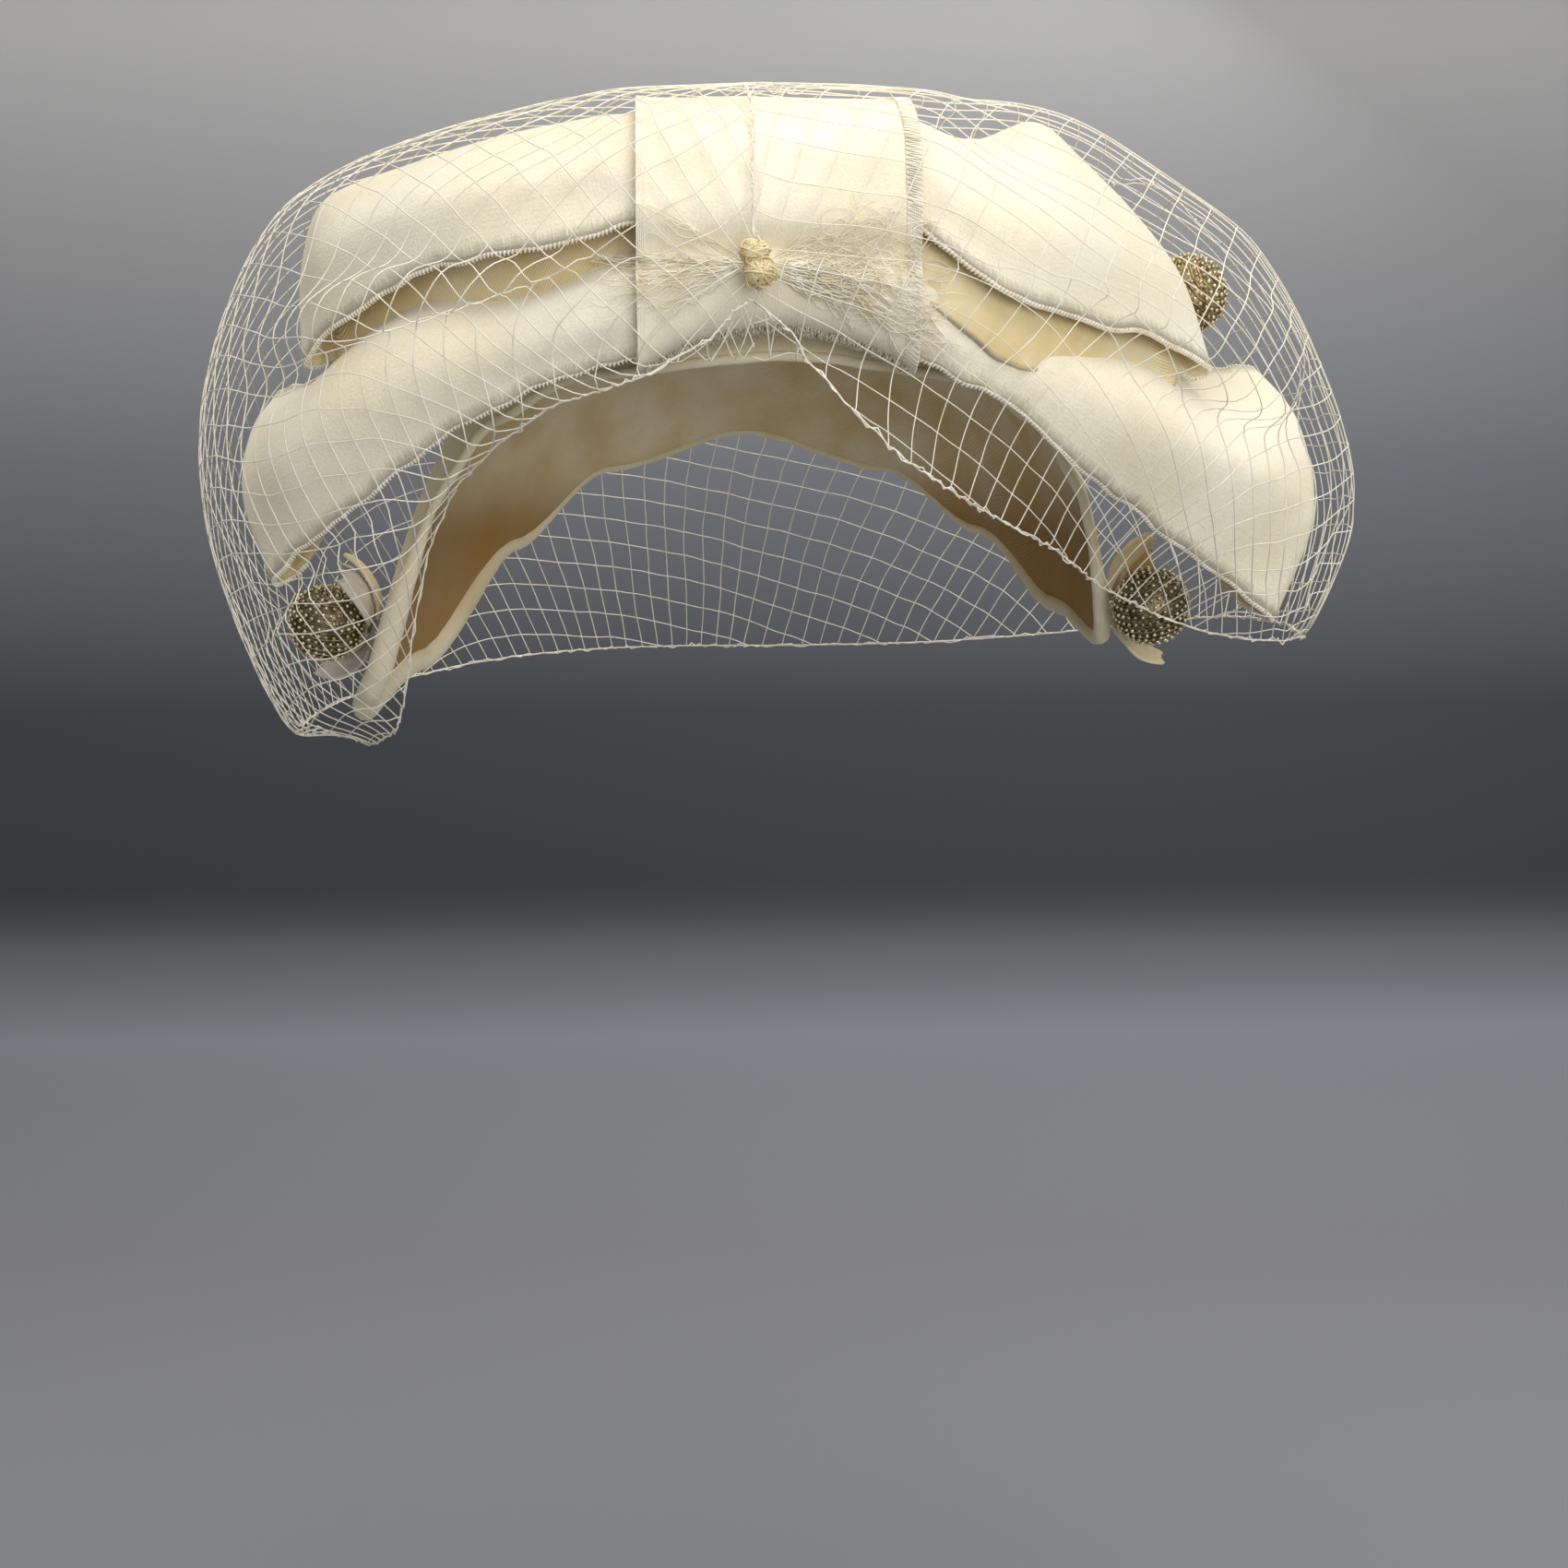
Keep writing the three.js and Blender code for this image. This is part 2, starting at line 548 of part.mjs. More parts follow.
// The net: every column and ring is a strip between two lines of points, and the cells between
// the strips are left open.
function makeVeil() {
  const last = VEIL_RINGS.length - 1;
  const node = (column, ring) => veilPoint((column / VEIL_COLUMNS) * 2 * Math.PI, ring);
  const points = [];
  for (let column = 0; column < VEIL_COLUMNS; column++) {
    for (const side of [-1, 1]) {
      for (let ring = 0; ring <= last; ring++) {
        const around = node(column + 1, ring).sub(node(column - 1, ring)).normalize();
        const above = node(column, Math.max(0, ring - 1));
        const below = node(column, Math.min(last, ring + 1));
        const down = below.sub(above).normalize();
        const start = node(column, ring).addScaledVector(around, (side * VEIL_STRAND) / 2);
        for (const end of [-1, 1]) points.push(start.clone().addScaledVector(down, (end * VEIL_STRAND) / 2));
      }
    }
  }
  const perLine = 2 * (last + 1);
  const faces = gridFaces(2 * VEIL_COLUMNS, perLine, true).filter((face, n) => {
    const [line, row] = [Math.floor(n / (perLine - 1)), n % (perLine - 1)];
    return line % 2 === 0 || row % 2 === 0;
  });
  addPiece("veil", thicken(points, faces, VEIL_THICKNESS), netting);
}

// The thread knot that holds the gathered net to the wrap.
function makeKnot() {
  const radius = (KNOT_DIAMETER - KNOT_THREAD) / 3;
  const knot = new THREE.TorusKnotGeometry(radius, KNOT_THREAD / 2, 42, 6);
  const middle = veilPoint(0, KNOT_RING);
  const [upper, lower] = [veilPoint(0, KNOT_RING - 1), veilPoint(0, KNOT_RING + 1)];
  const slopes = [upper, lower].map((p) => (middle.y - p.y) / Math.abs(p.z - middle.z));
  const slope = Math.max(0, ...slopes);
  const away = VEIL_THICKNESS / 2 + SEAT_GAP + (radius + KNOT_THREAD) / 2 + slope * (KNOT_DIAMETER / 4);
  const piece = addPiece("veil_knot", knot, thread);
  piece.position.copy(middle).setY(middle.y - away);
  piece.rotation.x = Math.PI / 2;
}

makeCrown();
makeLoop("bow_upper_left", UPPER_LEFT_LOOP, -1);
makeLoop("bow_upper_right", UPPER_RIGHT_LOOP, 1);
makeLoop("bow_lower_left", LOWER_LEFT_LOOP, -1);
makeLoop("bow_lower_right", LOWER_RIGHT_LOOP, 1);
makeWrap();
FLOWERS.forEach(makeFlower);
LOOP_BALLS.forEach(makeLoopBall);
makeVeil();
makeKnot();

export default hat;
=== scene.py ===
"""Looks of a cream velvet bow half hat under a net veil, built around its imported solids.

Lengths in tables and fields are millimetres and turn to metres where a mesh is made. +Z is up and
+Y runs from the bow to the wearer's face, so +X is the wearer's right.
"""

from __future__ import annotations

import logging
import math
import random
from dataclasses import dataclass, field
from enum import Enum
from typing import Sequence

import bmesh
import bpy
import numpy as np
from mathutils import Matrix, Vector, noise
from mathutils.bvhtree import BVHTree

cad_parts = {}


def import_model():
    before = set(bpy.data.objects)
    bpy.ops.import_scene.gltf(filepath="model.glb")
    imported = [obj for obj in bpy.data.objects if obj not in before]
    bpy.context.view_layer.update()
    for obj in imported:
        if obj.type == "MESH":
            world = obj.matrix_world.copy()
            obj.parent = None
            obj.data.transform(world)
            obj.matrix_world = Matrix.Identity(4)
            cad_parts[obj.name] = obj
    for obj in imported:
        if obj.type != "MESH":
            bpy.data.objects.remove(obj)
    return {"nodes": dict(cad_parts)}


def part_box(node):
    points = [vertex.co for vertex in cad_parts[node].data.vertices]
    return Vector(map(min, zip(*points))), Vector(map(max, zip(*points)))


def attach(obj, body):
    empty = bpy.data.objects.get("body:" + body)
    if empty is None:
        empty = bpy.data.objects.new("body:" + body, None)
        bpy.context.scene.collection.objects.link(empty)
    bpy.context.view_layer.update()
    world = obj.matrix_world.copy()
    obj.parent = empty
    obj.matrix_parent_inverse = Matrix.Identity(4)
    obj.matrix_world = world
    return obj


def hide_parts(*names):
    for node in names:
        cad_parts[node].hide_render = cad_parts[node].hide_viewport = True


LOG = logging.getLogger("bow_half_hat")
MM = 0.001
SEED = 1957

# The named sizes of the solids, repeated here because the looks are built on the same surfaces.
CROWN_WIDTH, CROWN_LENGTH, CROWN_HEIGHT, CROWN_WALL = 157.0, 192.0, 95.0, 2.4
LEFT_END_FLARE, RIGHT_END_FLARE = 9.0, 0.5
BOW_REACH, BOW_DEPTH, BOW_HEIGHT = 125.0, 100.0, 120.0
RIBBON_THICKNESS, LOOP_PUFF, ROOT_PUFF, ROOT_SPLIT = 1.6, 11.0, 4.6, 2.0
WRAP_WIDTH, WRAP_THICKNESS, WRAP_HEM_TURN, WRAP_GAP = 56.0, 1.8, 4.0, 1.15
SEAT_GAP = 0.3
# How much higher the bow's lower edge is in the middle than at the wrap's sides, and where it starts.
ARCH_RISE, ARCH_TOP, ARCH_FOOT = 9.0, -8.0, -32.0


# Small helpers


def linear(code: str) -> tuple[float, float, float, float]:
    """Turns an sRGB hex colour to linear RGBA.

    Args:
        code: six hex digits, such as "F4EBD2".

    Returns:
        The colour as Blender's sockets take it.
    """
    parts = [int(code[i : i + 2], 16) / 255 for i in (0, 2, 4)]
    return (*[p / 12.92 if p <= 0.04045 else ((p + 0.055) / 1.055) ** 2.4 for p in parts], 1.0)


def smooth_step(low: float, high: float, value):
    """Eases from 0 at low to 1 at high, for a number or an array."""
    share = np.clip((np.asarray(value, float) - low) / (high - low), 0, 1)
    return share * share * (3 - 2 * share)


def unit(vectors: np.ndarray) -> np.ndarray:
    """Scales the vectors in the last axis to length 1."""
    return vectors / np.maximum(np.linalg.norm(vectors, axis=-1, keepdims=True), 1e-9)


def spline(points: Sequence, shares: Sequence[float]) -> np.ndarray:
    """Runs a centripetal Catmull-Rom curve through points, as the solids' own curves do.

    Args:
        points: the points that the curve passes.
        shares: places along it, from 0 to 1.

    Returns:
        One point for each share.
    """
    points = np.asarray(points, float)
    place = np.clip(np.asarray(shares, float), 0, 1) * (len(points) - 1)
    first = np.minimum(place.astype(int), len(points) - 2)
    w = (place - first)[:, None]
    padded = np.vstack([2 * points[0] - points[1], points, 2 * points[-1] - points[-2]])
    p0, p1, p2, p3 = (padded[first + k] for k in range(4))
    d0, d1, d2 = (
        np.maximum(np.sqrt(np.linalg.norm(b - a, axis=1)), 1e-4)[:, None]
        for a, b in ((p0, p1), (p1, p2), (p2, p3))
    )
    t1 = ((p1 - p0) / d0 - (p2 - p0) / (d0 + d1) + (p2 - p1) / d1) * d1
    t2 = ((p2 - p1) / d1 - (p3 - p1) / (d1 + d2) + (p3 - p2) / d2) * d1
    return p1 + t1 * w + (3 * (p2 - p1) - 2 * t1 - t2) * w**2 + (2 * (p1 - p2) + t1 + t2) * w**3


def resample(path: np.ndarray, step: float) -> np.ndarray:
    """Places points at even steps along a path of points."""
    lengths = np.r_[0, np.cumsum(np.linalg.norm(np.diff(path, axis=0), axis=1))]
    count = max(2, int(round(lengths[-1] / step)) + 1)
    at = np.linspace(0, lengths[-1], count)
    return interp_rows(at, lengths, path)


def interp_rows(at: np.ndarray, known: np.ndarray, rows: np.ndarray) -> np.ndarray:
    """Interpolates rows of coordinates, which are known at some places, at others."""
    return np.stack([np.interp(at, known, rows[:, k]) for k in range(rows.shape[1])], axis=1)


def frames_of(grid: np.ndarray) -> tuple[np.ndarray, np.ndarray, np.ndarray]:
    """Gives the directions along a grid's first and second axes, and the one square to both."""
    way, across = unit(np.gradient(grid, axis=0)), unit(np.gradient(grid, axis=1))
    return way, across, unit(np.cross(way, across))


def line_lengths(grid: np.ndarray, axis: int) -> np.ndarray:
    """Measures how far each point of a grid is along its line, from the line's start.

    Args:
        grid: rows by columns of points.
        axis: the axis that the lines follow.

    Returns:
        The length at each point.
    """
    steps = np.linalg.norm(np.diff(grid, axis=axis), axis=2)
    start = np.zeros_like(steps.take([0], axis=axis))
    return np.concatenate([start, np.cumsum(steps, axis=axis)], axis=axis)


def arched(points: np.ndarray) -> np.ndarray:
    """Lifts the bow's lower edge in the middle, under the wrap."""
    over = np.clip(1 - (points[..., 0] / (WRAP_WIDTH / 2)) ** 2, 0, 1)
    low = smooth_step(ARCH_TOP, ARCH_FOOT, points[..., 2])
    return points + (ARCH_RISE * over * low)[..., None] * [0, 0, 1.0]


def wander(places: np.ndarray, size: float, seed: float) -> np.ndarray:
    """Gives smooth noise from -1 to 1 at each place, whose features are about size across."""
    shift = Vector((seed * 7.3, seed * 3.1, seed * 5.7))
    flat = places.reshape(-1, 3) / size
    values = [noise.noise(Vector(p) + shift) for p in flat]
    return np.array(values).reshape(places.shape[:-1])


# Materials


def add_node(
    tree: bpy.types.NodeTree,
    kind: str,
    inputs: dict | None = None,
    stops: Sequence[tuple[float, str]] = (),
    **settings,
) -> bpy.types.Node:
    """Adds a node, sets its properties, and fills or links its sockets.

    Args:
        tree: the material's node tree.
        kind: the node's type.
        inputs: a value or another node's output for each named or numbered socket.
        stops: a colour ramp's places in rising order, each with its sRGB hex colour.
        **settings: the node's own properties.

    Returns:
        The node.
    """
    node = tree.nodes.new(kind)
    for key, value in settings.items():
        setattr(node, key, value)
    for name, value in (inputs or {}).items():
        socket = node.inputs[name]
        if isinstance(value, bpy.types.NodeSocket):
            tree.links.new(value, socket)
        else:
            socket.default_value = value
    if stops:
        elements = node.color_ramp.elements
        while len(elements) < len(stops):
            elements.new(0.5)
        for element, (place, code) in zip(elements, stops):
            element.position = place
            element.color = linear(code)
    return node


def blank_material(name: str) -> tuple[bpy.types.Material, bpy.types.NodeTree, bpy.types.Node]:
    """Makes a material with a Principled shader alone."""
    material = bpy.data.materials.new(name)
    material.use_nodes = True
    tree = material.node_tree
    return material, tree, tree.nodes["Principled BSDF"]


@dataclass(frozen=True)
class Velvet:
    """Cut-pile rayon velvet: its short upright pile scatters light, so it glows at the rim.

    The pile stops short of the woven selvage, where its shadow shows grey through the hairs; that grey is
    painted shadow in the colour.
    """

    name: str
    light: str = "FDF6E3"
    shade: str = "F4EACF"
    # The colour, strength and reach of the painted shadow along the selvage.
    painted_groove_shadow: str = "A59D8A"
    painted_shadow_strength: float = 0.6
    groove_mm: tuple = (2.2, 5.0)
    ragged_mm: float = 3.4
    hair_mm: tuple = (0.45, 5.0)
    pile_mm: float = 0.55
    mottle_mm: float = 28.0
    rib_mm: tuple = (14.0, 0.9)

    def build(self) -> bpy.types.Material:
        """Makes the material from the cloth's own map and its distance from the selvage."""
        material, tree, shader = blank_material(self.name)
        place = add_node(tree, "ShaderNodeTexCoord").outputs["Object"]
        cloth = add_node(tree, "ShaderNodeUVMap", uv_map="cloth").outputs["UV"]
        edge = add_node(tree, "ShaderNodeAttribute", attribute_name="edge_mm").outputs["Fac"]
        mottle = add_node(
            tree, "ShaderNodeTexNoise", {"Vector": place, "Scale": 1 / (self.mottle_mm * MM), "Detail": 3.0}
        ).outputs["Fac"]
        stops = ((0.3, self.shade), (0.62, self.light))
        tone = add_node(tree, "ShaderNodeValToRGB", {"Fac": mottle}, stops).outputs["Color"]
        pile = add_node(
            tree,
            "ShaderNodeTexNoise",
            {"Vector": place, "Scale": 1 / (self.pile_mm * MM), "Detail": 2.0, "Roughness": 0.7},
        )
        # Hairs lean off the pile's edge towards the selvage, so they are long across the ribbon.
        hair_scale = (*[1 / (size * MM) for size in self.hair_mm], 1.0)
        lean = add_node(tree, "ShaderNodeMapping", {"Vector": cloth, "Scale": hair_scale})
        hairs = add_node(
            tree, "ShaderNodeTexNoise", {"Vector": lean.outputs["Vector"], "Scale": 1.0, "Detail": 2.0}
        )
        ragged = add_node(
            tree,
            "ShaderNodeMath",
            {0: hairs.outputs["Fac"], 1: self.ragged_mm, 2: edge},
            operation="MULTIPLY_ADD",
        )
        band = add_node(
            tree,
            "ShaderNodeMapRange",
            {
                "Value": ragged.outputs["Value"],
                "From Min": self.groove_mm[0],
                "From Max": self.groove_mm[1],
                "To Min": self.painted_shadow_strength,
                "To Max": 0.0,
            },
            interpolation_type="SMOOTHSTEP",
        )
        # The grey band along the selvage is painted shadow of the pile's edge, mixed into the base colour.
        colour = add_node(
            tree,
            "ShaderNodeMix",
            {"Factor": band.outputs["Result"], 6: tone, 7: linear(self.painted_groove_shadow)},
            data_type="RGBA",
        )
        speck = add_node(
            tree,
            "ShaderNodeMapRange",
            {"Value": pile.outputs["Fac"], "From Min": 0.3, "From Max": 0.7, "To Min": 0.93, "To Max": 1.03},
        )
        shaded = add_node(
            tree,
            "ShaderNodeMix",
            {"Factor": 1.0, 6: colour.outputs[2], 7: speck.outputs["Result"]},
            data_type="RGBA",
            blend_type="MULTIPLY",
        )
        tree.links.new(shaded.outputs[2], shader.inputs["Base Color"])
        # The pile stands in rows along the weft, 0.9 mm apart, drawn coarse enough to show.
        rib_scale = (*[1 / (size * MM) for size in self.rib_mm], 1.0)
        rows = add_node(tree, "ShaderNodeMapping", {"Vector": cloth, "Scale": rib_scale})
        ribs = add_node(
            tree, "ShaderNodeTexNoise", {"Vector": rows.outputs["Vector"], "Scale": 1.0, "Detail": 1.0}
        )
        height = add_node(
            tree,
            "ShaderNodeMath",
            {0: ribs.outputs["Fac"], 1: 0.6, 2: pile.outputs["Fac"]},
            operation="MULTIPLY_ADD",
        )
        bump = add_node(
            tree,
            "ShaderNodeBump",
            {"Height": height.outputs["Value"], "Strength": 0.35, "Distance": 0.5 * MM},
        )
        tree.links.new(bump.outputs["Normal"], shader.inputs["Normal"])
        shader.inputs["Roughness"].default_value = 0.95
        shader.inputs["Specular IOR Level"].default_value = 0.15
        shader.inputs["Sheen Weight"].default_value = 0.3
        shader.inputs["Sheen Roughness"].default_value = 0.4
        shader.inputs["Sheen Tint"].default_value = linear("FFF8E6")
        return material


@dataclass(frozen=True)
class WovenBack:
    """The ribbon's plain woven back: matt, warmer than the pile, with a slanting fine weave."""

    name: str
    light: str = "FAEDC6"
    dark: str = "E8D19B"
    # The colour low down and the heights over which it takes over are painted shade, darker towards the
    # bottom.
    low: str = "E8D19B"
    painted_shade_from_mm: tuple = (-52.0, -76.0)
    thread_mm: float = 0.8
    slant: float = 38.0
    stain_mm: float = 22.0
    contrast: float = 0.14

    def build(self) -> bpy.types.Material:
        """Makes the material on the cloth's own map."""
        material, tree, shader = blank_material(self.name)
        cloth = add_node(tree, "ShaderNodeUVMap", uv_map="cloth").outputs["UV"]
        place = add_node(tree, "ShaderNodeTexCoord").outputs["Object"]
        turned = add_node(
            tree,
            "ShaderNodeMapping",
            {"Vector": cloth, "Rotation": (0.0, 0.0, math.radians(self.slant)), "Scale": (1 / MM,) * 3},
        )
        twill = add_node(
            tree,
            "ShaderNodeTexWave",
            {
                "Vector": turned.outputs["Vector"],
                "Scale": 0.5 / self.thread_mm,
                "Distortion": 1.2,
                "Detail": 2.0,
                "Detail Scale": 1.5,
            },
        )
        stain = add_node(
            tree, "ShaderNodeTexNoise", {"Vector": place, "Scale": 1 / (self.stain_mm * MM), "Detail": 4.0}
        ).outputs["Fac"]
        stops = ((0.35, self.dark), (0.65, self.light))
        plain = add_node(tree, "ShaderNodeValToRGB", {"Fac": stain}, stops).outputs["Color"]
        # Low down over the ears the colour runs to a deep ochre: painted shade, for the deep shade inside
        # the band under the bow.
        rise = add_node(tree, "ShaderNodeSeparateXYZ", {"Vector": place}).outputs["Z"]
        start, end = self.painted_shade_from_mm
        painted_shade = add_node(
            tree,
            "ShaderNodeMapRange",
            {"Value": rise, "From Min": start * MM, "From Max": end * MM, "To Max": 0.85},
            interpolation_type="SMOOTHSTEP",
        )
        tone = add_node(
            tree,
            "ShaderNodeMix",
            {"Factor": painted_shade.outputs["Result"], 6: plain, 7: linear(self.low)},
            data_type="RGBA",
        ).outputs[2]
        lines = add_node(
            tree,
            "ShaderNodeMapRange",
            {
                "Value": twill.outputs["Fac"],
                "To Min": 1 - self.contrast,
                "To Max": 1 + 0.4 * self.contrast,
            },
        )
        shaded = add_node(
            tree,
            "ShaderNodeMix",
            {"Factor": 1.0, 6: tone, 7: lines.outputs["Result"]},
            data_type="RGBA",
            blend_type="MULTIPLY",
        )
        tree.links.new(shaded.outputs[2], shader.inputs["Base Color"])
        bump = add_node(
            tree,
            "ShaderNodeBump",
            {"Height": twill.outputs["Fac"], "Strength": 0.4, "Distance": 0.25 * MM},
        )
        tree.links.new(bump.outputs["Normal"], shader.inputs["Normal"])
        shader.inputs["Roughness"].default_value = 0.85
        shader.inputs["Specular IOR Level"].default_value = 0.3
        return material


@dataclass(frozen=True)
class Thread:
    """Spun thread or cord: nearly matt, with a little silk sheen and uneven colour."""

    name: str
    light: str
    dark: str
    roughness: float = 0.55
    sheen: float = 0.3
    blotch_mm: float = 4.0
    fibre_mm: float = 0.25

    def build(self) -> bpy.types.Material:
        """Makes the material from two close colours."""
        material, tree, shader = blank_material(self.name)
        place = add_node(tree, "ShaderNodeTexCoord").outputs["Object"]
        blotch = add_node(
            tree,
            "ShaderNodeTexNoise",
            {"Vector": place, "Scale": 1 / (self.blotch_mm * MM), "Detail": 3.0},
        )
        stops = ((0.35, self.dark), (0.6, self.light))
        tone = add_node(tree, "ShaderNodeValToRGB", {"Fac": blotch.outputs["Fac"]}, stops).outputs["Color"]
        tree.links.new(tone, shader.inputs["Base Color"])
        fibres = add_node(
            tree, "ShaderNodeTexNoise", {"Vector": place, "Scale": 1 / (self.fibre_mm * MM), "Detail": 2.0}
        )
        bump = add_node(
            tree,
            "ShaderNodeBump",
            {"Height": fibres.outputs["Fac"], "Strength": 0.3, "Distance": 0.1 * MM},
        )
        tree.links.new(bump.outputs["Normal"], shader.inputs["Normal"])
        shader.inputs["Roughness"].default_value = self.roughness
        shader.inputs["Sheen Weight"].default_value = self.sheen
        return material


@dataclass(frozen=True)
class Metal:
    """Small metallic things: silver-lined seed beads, or the dull wire that they are wound on."""

    name: str
    light: str
    dark: str
    metallic: float
    roughness: float
    grain_mm: float = 1.3

    def build(self) -> bpy.types.Material:
        """Makes the material with a tone that changes from bead to bead."""
        material, tree, shader = blank_material(self.name)
        place = add_node(tree, "ShaderNodeTexCoord").outputs["Object"]
        grain = add_node(tree, "ShaderNodeTexVoronoi", {"Vector": place, "Scale": 1 / (self.grain_mm * MM)})
        value = add_node(tree, "ShaderNodeSeparateColor", {"Color": grain.outputs["Color"]})
        stops = ((0.1, self.dark), (0.8, self.light))
        tone = add_node(tree, "ShaderNodeValToRGB", {"Fac": value.outputs["Red"]}, stops).outputs["Color"]
        tree.links.new(tone, shader.inputs["Base Color"])
        shader.inputs["Metallic"].default_value = self.metallic
        shader.inputs["Roughness"].default_value = self.roughness
        return material


class Finish(Enum):
    """The hat's finishes, each built once."""

    VELVET = Velvet("cream_rayon_velvet")
    CROWN_VELVET = Velvet("crown_rayon_velvet", light="F3E9CC", shade="E6D6AC", painted_shadow_strength=0.0)
    PETAL_BEIGE = Velvet("beige_petal_velvet", light="F0E2BE", shade="E2CF9F", painted_shadow_strength=0.25)
    PETAL_GREY = Velvet("lavender_grey_petal_velvet", light="D9D0C4", shade="C3B8A8", painted_shadow_strength=0.25)
    PETAL_OCHRE = Velvet("ochre_petal_velvet", light="DDBE7C", shade="C49E58", painted_shadow_strength=0.25)
    BACK = WovenBack("woven_ribbon_back")
    # The lining's deep ochre low over the ears is painted shade.
    CROWN_BACK = WovenBack(
        "buckram_lining_painted_shade", light="EFE3C2", dark="DBC38E", low="9C7434", contrast=0.03
    )
    SELVAGE = Thread("overcast_selvage_thread", light="FFFBEE", dark="F0E7CF", roughness=0.45)
    SATIN = Thread("satin_wrap_selvage", light="FFFAEA", dark="F5EDD8", roughness=0.3, sheen=0.1)
    FUZZ = Thread("cut_velvet_pile", light="F6EFDC", dark="A39A82", roughness=0.8, blotch_mm=0.6)
    NET = Thread("silk_veil_net", light="FBF6E8", dark="ECE5D0", roughness=0.5)
    KNOT = Thread("gold_sewing_thread", light="F3E6BE", dark="D6BF86", roughness=0.5)
    WHITE_THREAD = Thread("gathered_net_thread", light="FFFAEA", dark="EFE4C6", roughness=0.5)
    BEAD = Metal("silver_lined_seed_beads", light="F6E9C4", dark="A08A58", metallic=0.65, roughness=0.22)
    BEAD_GOLD = Metal("golden_seed_beads", light="F3E6C4", dark="A8946A", metallic=0.6, roughness=0.25)
    WIRE = Metal("dull_taupe_wire", light="A3957A", dark="655A45", metallic=0.7, roughness=0.4)
    WIRE_GOLD = Metal("pale_gold_wire", light="BFAE86", dark="84744F", metallic=0.6, roughness=0.45)

    def material(self) -> bpy.types.Material:
        """Gives the finish's material, and builds it when it is first asked for."""
        return bpy.data.materials.get(self.value.name) or self.value.build()


# Meshes


def link(mesh: bpy.types.Mesh, name: str, finishes: Sequence[Finish]) -> bpy.types.Object:
    """Puts a mesh in the scene as a piece of the hat with its finishes, riding on its one body."""
    piece = bpy.data.objects.new(name, mesh)
    for finish in finishes:
        mesh.materials.append(finish.material())
    bpy.context.scene.collection.objects.link(piece)
    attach(piece, "root")
    return piece


def smooth_mesh(bm: bmesh.types.BMesh, name: str) -> bpy.types.Mesh:
    """Turns a bmesh to a smooth mesh, and frees it.

    Args:
        bm: the bmesh.
        name: the mesh's name.

    Returns:
        The mesh.
    """
    for face in bm.faces:
        face.smooth = True
    mesh = bpy.data.meshes.new(name)
    bm.to_mesh(mesh)
    bm.free()
    return mesh


def middle_of(node: str) -> np.ndarray:
    """Finds the middle of a solid's box, in millimetres."""
    low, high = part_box(node)
    return np.array((low + high) / 2) / MM


def cloth_mesh(
    name: str,
    points: np.ndarray,
    outwards: np.ndarray,
    edge: np.ndarray | None = None,
    weld: bool = False,
) -> bpy.types.Mesh:
    """Bends a flat grid of cloth to rows of points.

    Args:
        name: the mesh's name.
        points: rows by columns of places in millimetres.
        outwards: one direction that the middle of the grid faces, for the winding.
        edge: each point's distance from the ribbon's nearest selvage in millimetres.
        weld: whether the first and last columns are one line and a row may be one point.

    Returns:
        The mesh, with the map "cloth" in metres and the attribute "edge_mm".
    """
    rows, columns = points.shape[:2]
    bm = bmesh.new()
    bmesh.ops.create_grid(bm, x_segments=columns - 1, y_segments=rows - 1, size=1)
    layer = bm.verts.layers.float.new("edge_mm")
    across = line_lengths(points, 1)[rows // 2]
    along = line_lengths(points, 0)[:, columns // 2]
    uv = bm.loops.layers.uv.new("cloth")
    for vert in bm.verts:
        column = round((vert.co.x + 1) / 2 * (columns - 1))
        row = round((vert.co.y + 1) / 2 * (rows - 1))
        for loop in vert.link_loops:
            loop[uv].uv = (along[row] * MM, across[column] * MM)
        vert[layer] = 99.0 if edge is None else edge[row, column]
        vert.co = Vector(points[row, column]) * MM
    bm.normal_update()
    middle = bm.faces[:][(rows // 2) * (columns - 1) + columns // 2]
    if middle.normal.dot(Vector(outwards)) < 0:
        bmesh.ops.reverse_faces(bm, faces=bm.faces)
    if weld:
        bmesh.ops.remove_doubles(bm, verts=bm.verts, dist=1e-6)
    return smooth_mesh(bm, name)


def thicken(piece: bpy.types.Object, thickness: float, back: bool = True, levels: int = 0) -> None:
    """Gives a piece of cloth its two faces and a rounded edge.

    Args:
        piece: the cloth.
        thickness: in millimetres, half on each side of the surface.
        back: whether the inner face takes the second finish.
        levels: subdivisions.
    """
    wall = piece.modifiers.new("wall", "SOLIDIFY")
    wall.thickness = thickness * MM
    wall.offset = 0.0
    wall.use_even_offset = False
    wall.material_offset = 1 if back else 0
    wall.material_offset_rim = 0
    if levels:
        soft = piece.modifiers.new("soft", "SUBSURF")
        soft.levels = soft.render_levels = levels


def velvet_piece(
    mesh: bpy.types.Mesh,
    name: str,
    node: str,
    thickness: float,
    finishes: Sequence[Finish] = (Finish.VELVET, Finish.BACK),
    levels: int = 0,
) -> bpy.types.Object:
    """Puts a thickened sheet of velvet in the scene, in the place of a solid.

    Args:
        mesh: the sheet.
        name: the piece's name.
        node: the solid that the piece stands for.
        thickness: in millimetres.
        finishes: of the pile side and, where it has its own, of the inner side.
        levels: subdivisions.

    Returns:
        The piece.
    """
    piece = link(mesh, name, finishes)
    thicken(piece, thickness, back=len(finishes) > 1, levels=levels)
    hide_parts(node)
    return piece


